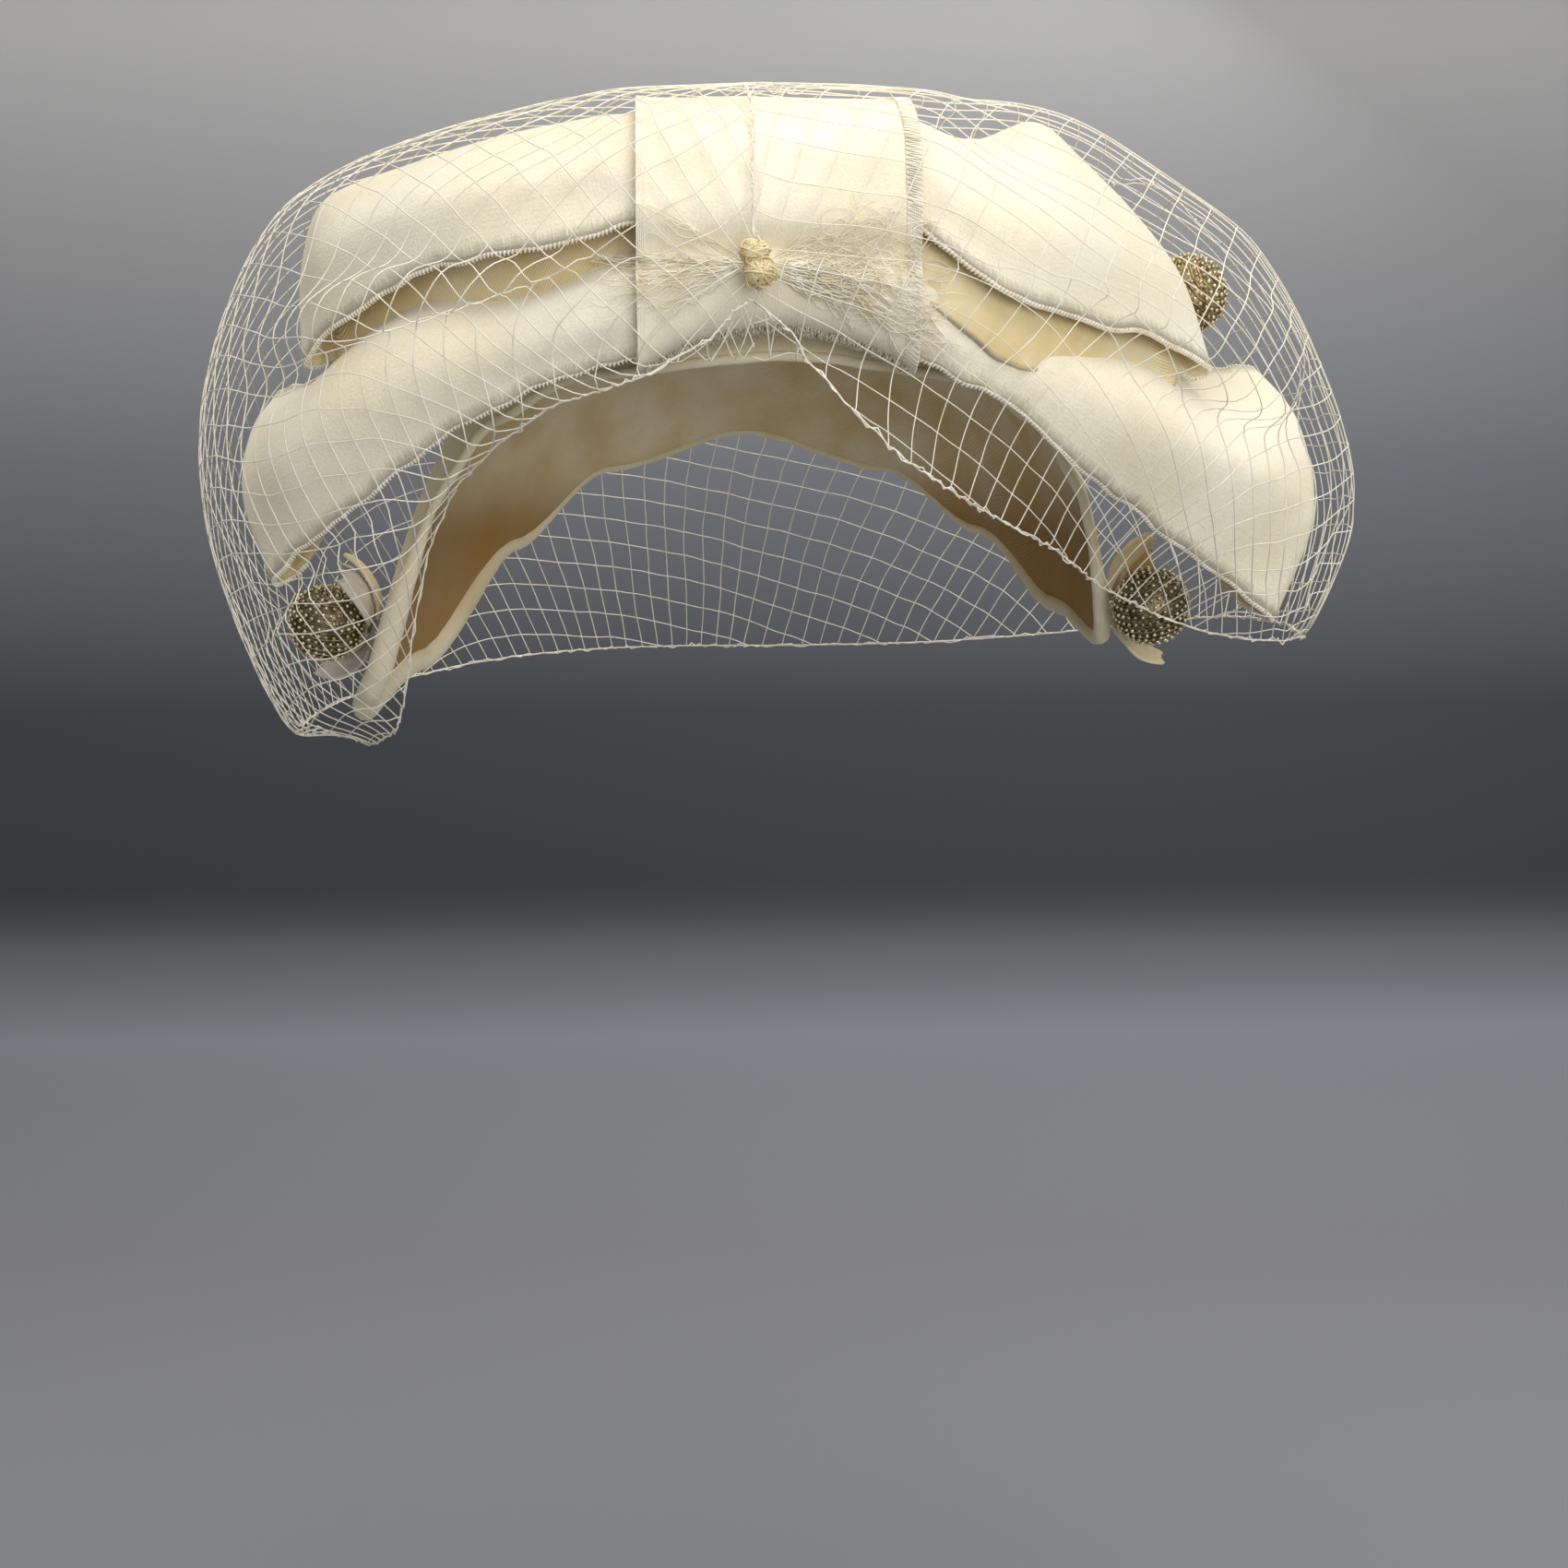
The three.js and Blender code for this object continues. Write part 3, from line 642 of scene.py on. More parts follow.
def thread_mesh(
    name: str,
    paths: Sequence[np.ndarray],
    radius: float,
    round_steps: int = 0,
    swell: np.ndarray | None = None,
) -> bpy.types.Mesh:
    """Spins threads along many paths, as one mesh.

    Args:
        name: the mesh's name.
        paths: lists of points in millimetres.
        radius: in millimetres.
        round_steps: how round the thread is: 0 has 4 sides and 1 has 6.
        swell: the share of the radius at each point, for a single path.

    Returns:
        The mesh.
    """
    curve = bpy.data.curves.new(name, "CURVE")
    curve.dimensions = "3D"
    curve.bevel_depth = radius * MM
    curve.bevel_resolution = round_steps
    curve.use_fill_caps = True
    for path in paths:
        line = curve.splines.new("POLY")
        line.points.add(len(path) - 1)
        line.points.foreach_set("co", np.c_[path * MM, np.ones(len(path))].ravel())
        if swell is not None:
            line.points.foreach_set("radius", swell)
        line.use_smooth = True
    holder = bpy.data.objects.new(name, curve)
    bpy.context.scene.collection.objects.link(holder)
    bpy.context.view_layer.update()
    mesh = bpy.data.meshes.new_from_object(holder.evaluated_get(bpy.context.evaluated_depsgraph_get()))
    bpy.data.objects.remove(holder)
    bpy.data.curves.remove(curve)
    mesh.name = name
    return mesh


def thread_piece(
    name: str,
    paths: Sequence[np.ndarray],
    radius: float,
    finish: Finish,
    round_steps: int = 0,
    swell: np.ndarray | None = None,
) -> bpy.types.Object:
    """Puts threads along many paths in the scene, as one piece.

    Args:
        name: the piece's name.
        paths: lists of points in millimetres.
        radius: in millimetres.
        finish: of the thread.
        round_steps: how round the thread is, as in thread_mesh.
        swell: the share of the radius at each point, for a single path.

    Returns:
        The piece.
    """
    piece = link(thread_mesh(name, paths, radius, round_steps, swell), name, [finish])
    return piece


def side_frames(path: np.ndarray, up: np.ndarray) -> tuple[np.ndarray, np.ndarray]:
    """Gives two directions across a path at each point, the second as near up as it can be."""
    way = unit(np.gradient(path, axis=0))
    side = unit(np.cross(way, up))
    return side, np.cross(side, way)


def overcast(path: np.ndarray, up: np.ndarray, radius: float, pitch: float, steps: int = 8) -> np.ndarray:
    """Winds a thread round an edge.

    Args:
        path: the edge's points in millimetres.
        up: a direction away from the edge at each point, or one for all.
        radius: of the winding.
        pitch: between turns.
        steps: points in each turn.

    Returns:
        The winding's points.
    """
    up = np.broadcast_to(up, path.shape)
    both = resample(np.asarray(path), pitch / steps)
    share = np.linspace(0, len(path) - 1, len(both))
    side, lift = side_frames(both, unit(interp_rows(share, np.arange(len(path)), up)))
    turn = 2 * math.pi * np.arange(len(both))[:, None] / steps
    return both + radius * (np.cos(turn) * side + np.sin(turn) * lift)


# The crown


def crown_point(degrees: float, drop: float, outside: float) -> np.ndarray:
    """Finds a point of the crown.

    Args:
        degrees: round from the centre back towards the right.
        drop: below the top, as a share of the crown's height.
        outside: distance outside the inner face, in millimetres.

    Returns:
        The point in millimetres.
    """
    turn = math.radians(degrees)
    ring = math.sqrt(max(0.0, 1 - (1 - drop) ** 2))
    flare = (LEFT_END_FLARE if degrees < 0 else RIGHT_END_FLARE) * math.sin(turn) ** 4 * drop**3
    return np.array(
        [
            math.sin(turn) * (ring * (CROWN_WIDTH / 2 + outside) + flare),
            -math.cos(turn) * ring * (CROWN_LENGTH / 2 + outside),
            (1 - drop) * (CROWN_HEIGHT + outside) - CROWN_HEIGHT,
        ]
    )


@dataclass
class Crown:
    """The open velvet cap, with a rolled and padded hem round its edge."""

    columns: int = 120
    rings: int = 26
    hem_radius: float = 1.1
    hem_step: float = 1.6
    left_pad: float = 1.9
    right_pad: float = 0.9
    pad_heights: tuple = (-66.0, -92.0)
    cloth_side: float = 290.0
    edge: tuple = (
        (-180, 0.52),
        (-150, 0.62),
        (-130, 0.82),
        (-110, 1.1),
        (-90, 1.19),
        (-80, 1.12),
        (-70, 0.64),
        (-60, 0.49),
        (-40, 0.39),
        (0, 0.35),
        (40, 0.39),
        (60, 0.49),
        (70, 0.62),
        (80, 1.0),
        (90, 1.02),
        (110, 0.96),
        (130, 0.78),
        (150, 0.62),
        (180, 0.52),
    )

    def edge_drop(self, degrees: float) -> float:
        """Gives how far down the crown's edge runs, eased between the table's rows."""
        for (a, low), (b, high) in zip(self.edge, self.edge[1:]):
            if a <= degrees <= b:
                return low + (high - low) * float(smooth_step(a, b, degrees))
        raise ValueError(degrees)

    def lay(self) -> np.ndarray:
        """Lays the cap: rings from its top to its edge, in millimetres."""
        points = np.zeros((self.rings + 1, self.columns + 1, 3))
        for i in range(self.columns + 1):
            degrees = -180 + 360 * i / self.columns
            reach = math.acos(1 - self.edge_drop(degrees))
            for j in range(self.rings + 1):
                drop = 1 - math.cos(reach * j / self.rings)
                points[j, i] = crown_point(degrees, drop, CROWN_WALL / 2)
        points[0] = points[0, 0]
        points[:, -1] = points[:, 0]
        # The pile and the stiffening under it make the cap a little uneven.
        points += unit(points + [0, 0, CROWN_HEIGHT]) * (0.35 * wander(points, 24, 3))[..., None]
        points[:, -1] = points[:, 0]
        return points

    def build(self) -> bpy.types.Object:
        """Makes the cap and its hem."""
        points = self.lay()
        away = points[self.rings // 2, self.columns // 2] + [0, 0, CROWN_HEIGHT]
        mesh = cloth_mesh("crown_cap", points, tuple(away), weld=True)
        finishes = [Finish.CROWN_VELVET, Finish.CROWN_BACK]
        cap = velvet_piece(mesh, "crown_cap", "crown", CROWN_WALL - 0.4, finishes, levels=1)
        hem = self.build_hem(points)
        return cap

    def build_hem(self, points: np.ndarray) -> bpy.types.Object:
        """Rolls the hem round the edge, padded where it rests on the ears, the left one more.

        Args:
            points: the cap's points, from its top to its edge.

        Returns:
            The hem.
        """
        path = resample(np.vstack([points[-1], points[-1][:2]]), self.hem_step)
        low = smooth_step(*self.pad_heights, path[:, 2])
        swell = 1 + low * np.where(path[:, 0] < 0, self.left_pad, self.right_pad) / self.hem_radius
        path = path + 0.4 * wander(path, 6, 8)[:, None]
        return thread_piece("crown_hem", [path], self.hem_radius, Finish.CROWN_VELVET, 3, swell)


# The bow


@dataclass(frozen=True)
class Section:
    """One section across a loop's ribbon, from the edge nearest the viewer to the far edge."""

    points: tuple
    puff: float


UPPER_ROOT = Section(((0.22, 0.9, -0.06), (0.22, 0.85, 0.065), (0.22, 0.52, 0.15), (0.22, 0.02, 0.1)), 0.42)
LOWER_ROOT = Section(
    ((0.22, 0.865, -0.27), (0.22, 0.9, -0.175), (0.22, 0.868, -0.12), (0.22, 0.73, -0.03)), 0.42
)
UPPER_LEFT = (
    UPPER_ROOT,
    Section(((0.42, 0.85, -0.095), (0.43, 0.81, 0.02), (0.43, 0.5, 0.12), (0.43, 0.02, 0.08)), 0.75),
    Section(((0.6, 0.71, -0.14), (0.63, 0.68, -0.03), (0.635, 0.44, 0.055), (0.61, 0.03, 0.01)), 0.85),
    Section(((0.73, 0.57, -0.215), (0.755, 0.54, -0.08), (0.75, 0.37, 0.02), (0.71, 0.06, -0.04)), 0.7),
    Section(((0.795, 0.47, -0.275), (0.8, 0.43, -0.12), (0.775, 0.32, 0.005), (0.73, 0.1, -0.05)), 0.5),
)
UPPER_RIGHT = (
    UPPER_ROOT,
    Section(((0.37, 0.87, -0.17), (0.36, 0.83, -0.03), (0.35, 0.52, 0.105), (0.35, 0.02, 0.08)), 0.6),
    Section(((0.52, 0.75, -0.205), (0.49, 0.74, -0.05), (0.46, 0.48, 0.135), (0.46, 0.06, 0.09)), 0.75),
    Section(((0.66, 0.61, -0.235), (0.62, 0.58, -0.08), (0.53, 0.43, 0.09), (0.53, 0.1, 0.06)), 0.7),
    Section(((0.755, 0.5, -0.28), (0.7, 0.45, -0.1), (0.57, 0.37, 0.06), (0.57, 0.13, 0.03)), 0.5),
)
LOWER_LEFT = (
    LOWER_ROOT,
    Section(((0.4, 0.82, -0.325), (0.41, 0.835, -0.235), (0.415, 0.75, -0.165), (0.42, 0.56, -0.1)), 0.7),
    Section(((0.59, 0.72, -0.44), (0.63, 0.75, -0.32), (0.63, 0.66, -0.225), (0.62, 0.46, -0.18)), 0.9),
    Section(((0.76, 0.59, -0.57), (0.81, 0.61, -0.44), (0.81, 0.49, -0.35), (0.78, 0.34, -0.305)), 0.9),
    Section(((0.86, 0.46, -0.66), (0.905, 0.44, -0.51), (0.895, 0.36, -0.395), (0.86, 0.26, -0.33)), 0.7),
)
LOWER_RIGHT = (
    LOWER_ROOT,
    Section(((0.36, 0.84, -0.34), (0.37, 0.83, -0.255), (0.38, 0.74, -0.2), (0.4, 0.56, -0.13)), 0.7),
    Section(((0.54, 0.72, -0.48), (0.6, 0.74, -0.37), (0.61, 0.63, -0.29), (0.62, 0.44, -0.25)), 0.9),
    Section(((0.72, 0.58, -0.61), (0.82, 0.59, -0.47), (0.8, 0.46, -0.38), (0.785, 0.29, -0.285)), 0.9),
    Section(((0.88, 0.46, -0.73), (0.96, 0.43, -0.54), (0.94, 0.35, -0.39), (0.88, 0.22, -0.28)), 0.7),
)


def bow_point(point: Sequence[float], side: int) -> np.ndarray:
    """Turns a point of the bow's tables to millimetres, on the left (-1) or the right (1)."""
    reach, back, rise = point
    return np.array([side * reach * BOW_REACH, -back * BOW_DEPTH, rise * BOW_HEIGHT])


@dataclass
class BowLoop:
    """One loop of the bow: the ribbon goes out, folds back and returns beneath itself."""

    name: str
    sections: tuple
    side: int
    seed: int
    long_steps: int = 76
    root_steps: int = 5
    fold_steps: int = 12
    across_steps: int = 44
    dent: float = 0.9
    dent_size: float = 26.0
    drag: float = 0.55
    wave: float = 1.1
    mouth: float = 0.0
    tuck: float = 0.0
    pinch: float = 0.0
    selvage_pitch: float = 0.9
    selvage_radius: float = 0.5
    stitch_radius: float = 0.26
    cord_radius: float = 0.5

    def surface(self, alongs: np.ndarray, acrosses: np.ndarray) -> np.ndarray:
        """Gives the outer layer's points, places along it by places across it."""
        places = [[bow_point(p, self.side) for p in section.points] for section in self.sections]
        lines = np.array([spline(row, acrosses) for row in places])
        return np.stack([spline(lines[:, j], alongs) for j in range(len(acrosses))], axis=1)

    def outwards(self, grid: np.ndarray) -> np.ndarray:
        """Gives the directions out of a grid of the outer layer, away from the head."""
        return unit(np.cross(np.gradient(grid, axis=0), np.gradient(grid, axis=1)) * self.side)

    def ribbon(self) -> np.ndarray:
        """Lays the ribbon: rows along both layers and columns across it, in millimetres."""
        alongs = np.linspace(0, 1, self.long_steps + 1)
        acrosses = np.linspace(0, 1, self.across_steps + 1)
        outer = self.surface(alongs, acrosses)
        out = self.outwards(outer)
        last = len(self.sections) - 1
        puffs = LOOP_PUFF * np.interp(alongs * last, range(last + 1), [s.puff for s in self.sections])
        near_edge = np.exp(-((acrosses / 0.25) ** 2))[None, :] * smooth_step(1.0, 0.8, alongs)[:, None]
        inner = outer - out * (puffs[:, None] * (1 - self.pinch * near_edge))[..., None]
        # Soft dents and the drag lines that run out from under the wrap.
        dents = self.dent * wander(outer, self.dent_size, self.seed)
        drag = self.drag * np.exp(-alongs * 4.5)[:, None] * np.sin(acrosses * 23 + self.seed)[None, :]
        outer = outer + out * (dents + drag)[..., None] * smooth_step(0, 0.08, alongs)[:, None, None]
        root_x = self.side * np.linspace(ROOT_SPLIT / 2, WRAP_WIDTH / 2, self.root_steps + 1)
        root = np.repeat(outer[:1], self.root_steps, axis=0)
        root[..., 0] = root_x[:-1, None]
        under = outer[:1] - out[:1] * ROOT_PUFF
        under = np.repeat(under, self.root_steps + 1, axis=0)
        under[..., 0] = root_x[::-1, None]
        radius = puffs[-1] / 2
        middle = outer[-1] - out[-1] * radius
        onwards = unit(outer[-1] - outer[-2])
        turns = np.pi * np.arange(1, self.fold_steps) / self.fold_steps
        fold = np.array([middle + radius * (math.cos(t) * out[-1] + math.sin(t) * onwards) for t in turns])
        # The return layer leaves the fold where the outer one's dents put it.
        settle = smooth_step(0.75, 1.0, alongs)[:, None, None]
        inner = inner + settle * (outer[-1] - 2 * radius * out[-1] - inner[-1])[None]
        if self.mouth:
            inner = self.hang_return(inner, alongs, acrosses)
            under = under + (inner[0] - under[0]) * np.linspace(1, 0, len(under))[:, None, None]
        return self.wave_edges(arched(np.concatenate([root, outer, fold, inner[:0:-1], under])))

    def hang_return(self, inner: np.ndarray, alongs: np.ndarray, acrosses: np.ndarray) -> np.ndarray:
        """Moves the return layer's lower part down and in, or up if the mouth is below zero.

        Where it hangs lower than the outer layer, the loop's inside shows as an open mouth, down
        to the velvet of the loop below.

        Args:
            inner: the return layer's points.
            alongs: each row's place along the loop.
            acrosses: each column's place across it.

        Returns:
            The points, moved.
        """
        ends = smooth_step(0.99, 0.75, alongs)[:, None]
        hang = ends * np.exp(-((acrosses / 0.3) ** 2))[None, :]
        inwards = ends * np.exp(-((acrosses / 0.12) ** 2))[None, :]
        return inner + hang[..., None] * [0, 0, -self.mouth] + inwards[..., None] * [0, self.tuck, 0]

    def wave_edges(self, rows: np.ndarray) -> np.ndarray:
        """Lets the ribbon's selvages wave in and out, because they are tighter than the pile."""
        count = rows.shape[1]
        length = line_lengths(rows, 0)[:, count // 2]
        across, out = frames_of(rows)[1:]
        out = out * self.side
        shares = np.linspace(0, 1, count)
        inside = smooth_step(8, 22, np.minimum(length, length[-1] - length))
        for sign, near in ((1, np.exp(-shares / 0.07)), (-1, np.exp(-(1 - shares) / 0.07))):
            tune = np.stack([length, np.full_like(length, 9.0 * sign), np.zeros_like(length)], axis=1)
            ripple = wander(tune, 13, self.seed + 20) + 0.6 * wander(tune, 5.5, self.seed + 30)
            lift = wander(tune, 11, self.seed + 40) + 0.5 * wander(tune, 5, self.seed + 50)
            amount = (self.wave * inside)[:, None] * near[None, :]
            rows = rows - across * (amount * sign * ripple[:, None])[..., None]
            rows = rows + out * (0.8 * amount * lift[:, None])[..., None]
        return rows

    def edge_distance(self, rows: np.ndarray) -> np.ndarray:
        """Gives each point's distance from the nearer selvage, in millimetres."""
        reach = line_lengths(rows, 1)
        return np.minimum(reach, reach[:, -1:] - reach)

    def build(self) -> bpy.types.Object:
        """Makes the ribbon of the loop and the overcast selvages on its two edges."""
        rows = self.ribbon()
        middle = self.root_steps + self.long_steps // 2
        mesh = cloth_mesh(self.name, rows, tuple(self.facing_of_middle(rows)), self.edge_distance(rows))
        ribbon = velvet_piece(mesh, f"{self.name}_ribbon", self.name, RIBBON_THICKNESS - 0.3)
        selvages = self.build_selvages(rows)
        length = float(line_lengths(rows, 0)[-1, self.across_steps // 2])
        width = float(line_lengths(rows, 1)[middle, -1])
        LOG.info("%s: ribbon %.0f mm wide and %.0f mm long", self.name, width, length)
        return ribbon

    def facing_of_middle(self, rows: np.ndarray) -> np.ndarray:
        """Gives the outward direction at the grid's middle row, which is in the fold."""
        i, j = len(rows) // 2, rows.shape[1] // 2
        way = rows[i + 1, j] - rows[i - 1, j]
        across = rows[i, j + 1] - rows[i, j - 1]
        return unit(np.cross(way, across) * self.side)

    def build_selvages(self, rows: np.ndarray) -> bpy.types.Object:
        """Winds the white overcasting thread round both edges, over a fine core cord."""
        paths, core = [], []
        first = self.root_steps - 1
        for column, inner in ((0, 2), (-1, -3)):
            last = len(rows) - self.root_steps
            if self.mouth and column == 0:
                # The return layer's lower selvage is tucked away behind the velvet below it.
                last = self.root_steps + self.long_steps + self.fold_steps + 3
            edge = rows[first:last, column]
            away = unit(edge - rows[first:last, inner])
            line = edge + away * 0.25
            paths.append(overcast(line, away, self.selvage_radius, self.selvage_pitch))
            core.append(resample(edge, 1.5))
        piece = thread_piece(f"{self.name}_selvage", paths, self.stitch_radius, Finish.SELVAGE)
        cord = thread_piece(f"{self.name}_cord", core, self.cord_radius, Finish.SELVAGE, 1)
        cord.parent = piece
        return piece


@dataclass
class BowWrap:
    """The ribbon over the middle of the bow, with satin selvages and a fuzzy cut lower edge."""

    front: float = 0.2
    front_length: float = 0.1
    back: float = 0.36
    across_steps: int = 56
    rows: int = 130
    plain_width: float = 1.4
    comb_width: float = 2.8
    comb_pitch: float = 1.08
    gather_at: float = -0.2
    hairs: int = 2600
    hair_radius: float = 0.07

    def path(self) -> np.ndarray:
        """Gives the wrap's control points in the middle plane, over the roots of the loops."""
        away = RIBBON_THICKNESS / 2 + WRAP_GAP + WRAP_THICKNESS / 2

        def over(section: Section, steps: int, start: float) -> np.ndarray:
            shares = start * (1 - np.arange(steps + 1) / steps)
            flat = [bow_point((0, p[1], p[2]), 1) for p in section.points]
            places = spline(flat, shares)
            step = 1e-3
            ahead, behind = np.minimum(shares + step, 1), np.maximum(shares - step, 0)
            way = unit(spline(flat, ahead) - spline(flat, behind))
            return places + away * np.stack([0 * way[:, 0], -way[:, 2], way[:, 1]], axis=1)

        hem = bow_point((0, LOWER_ROOT.points[0][1], LOWER_ROOT.points[0][2]), 1)
        end = [[0, hem[1] + WRAP_HEM_TURN / 2, hem[2] - away]]
        return np.vstack([over(UPPER_ROOT, 6, 1.0), over(LOWER_ROOT, 3, 0.6), end])

    def ribbon(self) -> np.ndarray:
        """Lays the wrap: rows from the crown in front, over the bow, to the crown behind."""
        outside = CROWN_WALL + 2 * SEAT_GAP + WRAP_THICKNESS / 2
        wide, long, high = CROWN_WIDTH / 2 + outside, CROWN_LENGTH / 2 + outside, CROWN_HEIGHT + outside
        path = self.path()
        lines = []
        for x in np.linspace(-WRAP_WIDTH / 2, WRAP_WIDTH / 2, self.across_steps + 1):
            tops = [
                [x, long * s, high * math.sqrt(1 - (x / wide) ** 2 - s**2) - CROWN_HEIGHT]
                for s in (self.front + self.front_length, self.front)
            ]
            z = arched(np.array([x, 0, -self.back * CROWN_HEIGHT]))[2]
            rear = [x, -long * math.sqrt(1 - (x / wide) ** 2 - ((z + CROWN_HEIGHT) / high) ** 2), z]
            control = np.vstack([tops, arched(path + [x, 0, 0]), [rear]])
            lines.append(spline(control, np.linspace(0, 1, self.rows + 1)))
        grid = np.stack(lines, axis=1)
        out = frames_of(grid)[2]
        soft = 0.5 * wander(grid, 20, 11) * smooth_step(0.03, 0.2, np.linspace(0, 1, len(grid)))[:, None]
        # The thread of the knot draws a faint line up the velvet.
        shares = np.linspace(-1, 1, grid.shape[1])[None, :]
        above = smooth_step(-16, -10, grid[..., 2]) * smooth_step(-60, -66, grid[..., 1])
        gather = -0.4 * np.exp(-(((shares - self.gather_at) / 0.035) ** 2)) * above
        return grid + out * (soft + gather)[..., None]

    def build(self) -> bpy.types.Object:
        """Makes the wrap, its satin selvage strips and the fuzz of its lower edge."""
        grid = self.ribbon()
        reach = line_lengths(grid, 1)
        # The satin strips hide the selvages, so the pile's edge, with its painted grey shadow, is off the
        # velvet.
        edge = np.minimum(reach, reach[:, -1:] - reach) + 4.0
        i, j = len(grid) // 2, grid.shape[1] // 2
        facing = np.cross(grid[i + 1, j] - grid[i - 1, j], grid[i, j + 1] - grid[i, j - 1])
        mesh = cloth_mesh("bow_wrap", grid, tuple(facing), edge)
        wrap = velvet_piece(mesh, "bow_wrap_ribbon", "bow_wrap", WRAP_THICKNESS - 0.4)
        strips = self.build_strips(grid)
        fuzz = self.build_fuzz(grid)
        length = float(line_lengths(grid, 0)[-1, j])
        LOG.info("bow_wrap: ribbon %.0f mm wide and %.0f mm long", WRAP_WIDTH, length)
        return wrap

    def build_strips(self, grid: np.ndarray) -> bpy.types.Object:
        """Sews a satin strip along each side, the right one crossed by comb stitches."""
        across, out = (directions[3:-3] for directions in frames_of(grid)[1:])
        # The left strip is plain and the right one has bars across it.
        left, right = (grid[3:-3, c] + out[:, c] * (WRAP_THICKNESS / 2 - 0.1) for c in (0, -1))
        paths = [left + across[:, 0] * width for width in np.arange(-0.1, self.plain_width, 0.35)]
        paths += [right - across[:, -1] * width for width in np.arange(-0.1, self.comb_width, 0.35)]
        fine = resample(right + out[:, -1] * 0.2, self.comb_pitch / 4)
        share = np.linspace(0, len(right) - 1, len(fine))
        inwards = interp_rows(share, np.arange(len(right)), -across[:, -1])
        zigzag = np.where(np.arange(len(fine)) % 4 < 2, -0.2, self.comb_width)[:, None]
        paths.append(fine + inwards * zigzag)
        return thread_piece("bow_wrap_selvage", paths, 0.22, Finish.SATIN)

    def build_fuzz(self, grid: np.ndarray) -> bpy.types.Object:
        """Stands short cut hairs along the wrap's lower turn."""
        rng = random.Random(SEED + 5)
        way, across, out = frames_of(grid)
        low = int(np.argmin(grid[:, grid.shape[1] // 2, 2]))
        paths = []
        for _ in range(self.hairs):
            i = min(len(grid) - 2, max(1, int(rng.gauss(low - 1, 1.6))))
            x = rng.uniform(0, grid.shape[1] - 1.001)
            j, t = int(x), x % 1
            foot = grid[i, j] * (1 - t) + grid[i, j + 1] * t + out[i, j] * 0.5
            tip = out[i, j] * rng.uniform(0.7, 1.7) + way[i, j] * rng.gauss(0.3, 0.5)
            tip = tip + across[i, j] * rng.gauss(0, 0.35)
            paths.append(np.array([foot, foot + tip * 0.6, foot + tip + way[i, j] * 0.3]))
        return thread_piece("bow_wrap_fuzz", paths, self.hair_radius, Finish.FUZZ)


# Flowers and balls


@dataclass
class Flower:
    """Cupped velvet petals sewn to the crown over one ear."""

    name: str
    at: float
    drop: float
    lean: float
    tones: tuple
    petals: int = 6
    spread: float = 170.0
    length: float = 17.0
    width: float = 12.0
    cup: float = 75.0
    thickness: float = 1.2
    gap: float = 0.4
    hole: float = 8.0
    foot: float = 0.12
    tip: float = 0.88
    fullness: float = 0.8
    vein: float = 0.45
    curl: float = 0.8
    crumple: float = 1.1
    ruffle: float = 0.6
    steps: int = 18
    across_steps: int = 20

    def axes(self) -> tuple[np.ndarray, np.ndarray, np.ndarray, np.ndarray]:
        """Gives the flower's seat on the crown, and the directions out, up and along the crown."""
        step = 0.01
        seat, ahead, behind, below, above = (
            crown_point(self.at + turn, self.drop + drop, CROWN_WALL)
            for turn, drop in ((0, 0), (1, 0), (-1, 0), (0, step), (0, -step))
        )
        out = unit(np.cross(below - above, ahead - behind))
        up = unit(np.array([0, 0, 1.0]) - out * out[2])
        return seat, out, up, np.cross(up, out)

    def lay_petal(self, k: int) -> np.ndarray:
        """Lays one petal in the flower's bowl.

        Args:
            k: the petal's number, from 0. Odd ones lie in the inner layer.

        Returns:
            Rows of points from its foot to its rim, in millimetres.
        """
        seat, out, up, along = self.axes()
        bowl, hole = self.length / math.radians(self.cup), self.hole / 2
        lift = (k % 2) * (self.thickness + self.gap)
        middle = math.radians((k / (self.petals - 1) - 0.5) * self.spread + self.lean)
        share = np.linspace(0, 1, self.steps + 1)[:, None]
        aside = np.linspace(-0.5, 0.5, self.across_steps + 1)[None, :]
        slope = share * self.length / bowl
        radius = hole + (bowl - lift) * np.sin(slope)
        height = SEAT_GAP + self.thickness / 2 + bowl - (bowl - lift) * np.cos(slope)
        width = self.width * np.sin(math.pi * (self.foot + (self.tip - self.foot) * share)) ** self.fullness
        turn = middle + aside * width / (radius + hole / 2)
        # A vein runs down the middle and the rim curls a little.
        raised = height - self.vein * np.exp(-((aside / 0.07) ** 2)) + self.curl * share * (2 * aside) ** 2
        shifts = ((raised, out), (radius * np.cos(turn), up), (radius * np.sin(turn), along))
        points = seat + sum(amount[..., None] * way for amount, way in shifts)
        ruffle = np.sin(np.linspace(-11, 11, self.across_steps + 1) + 2 * k)[None, :] * share**3
        crumple = self.crumple * wander(points, 5.5, k + 3 * self.drop) * share + self.ruffle * ruffle
        return points + out * crumple[..., None]

    def build(self) -> list[bpy.types.Object]:
        """Makes the petals, each crumpled in its own way."""
        seat, out = self.axes()[:2]
        focus = seat + out * self.length / math.radians(self.cup)
        columns = np.arange(self.across_steps + 1)
        # The petals' distance from their sides, which lays a faint painted shadow of the pile's edge along
        # them.
        rim = np.minimum(columns, self.across_steps - columns) * self.width / self.across_steps + 3.5
        made = []
        for k in range(self.petals):
            points = self.lay_petal(k)
            name = f"{self.name}_flower_petal_{k + 1}"
            inwards = focus - points[self.steps // 2, self.across_steps // 2]
            mesh = cloth_mesh(name, points, tuple(inwards), np.broadcast_to(rim, points.shape[:2]))
            tone = [self.tones[k % len(self.tones)]]
            petal = velvet_piece(mesh, f"{name}_velvet", name, self.thickness - 0.3, tone, levels=1)
            made.append(petal)
        return made


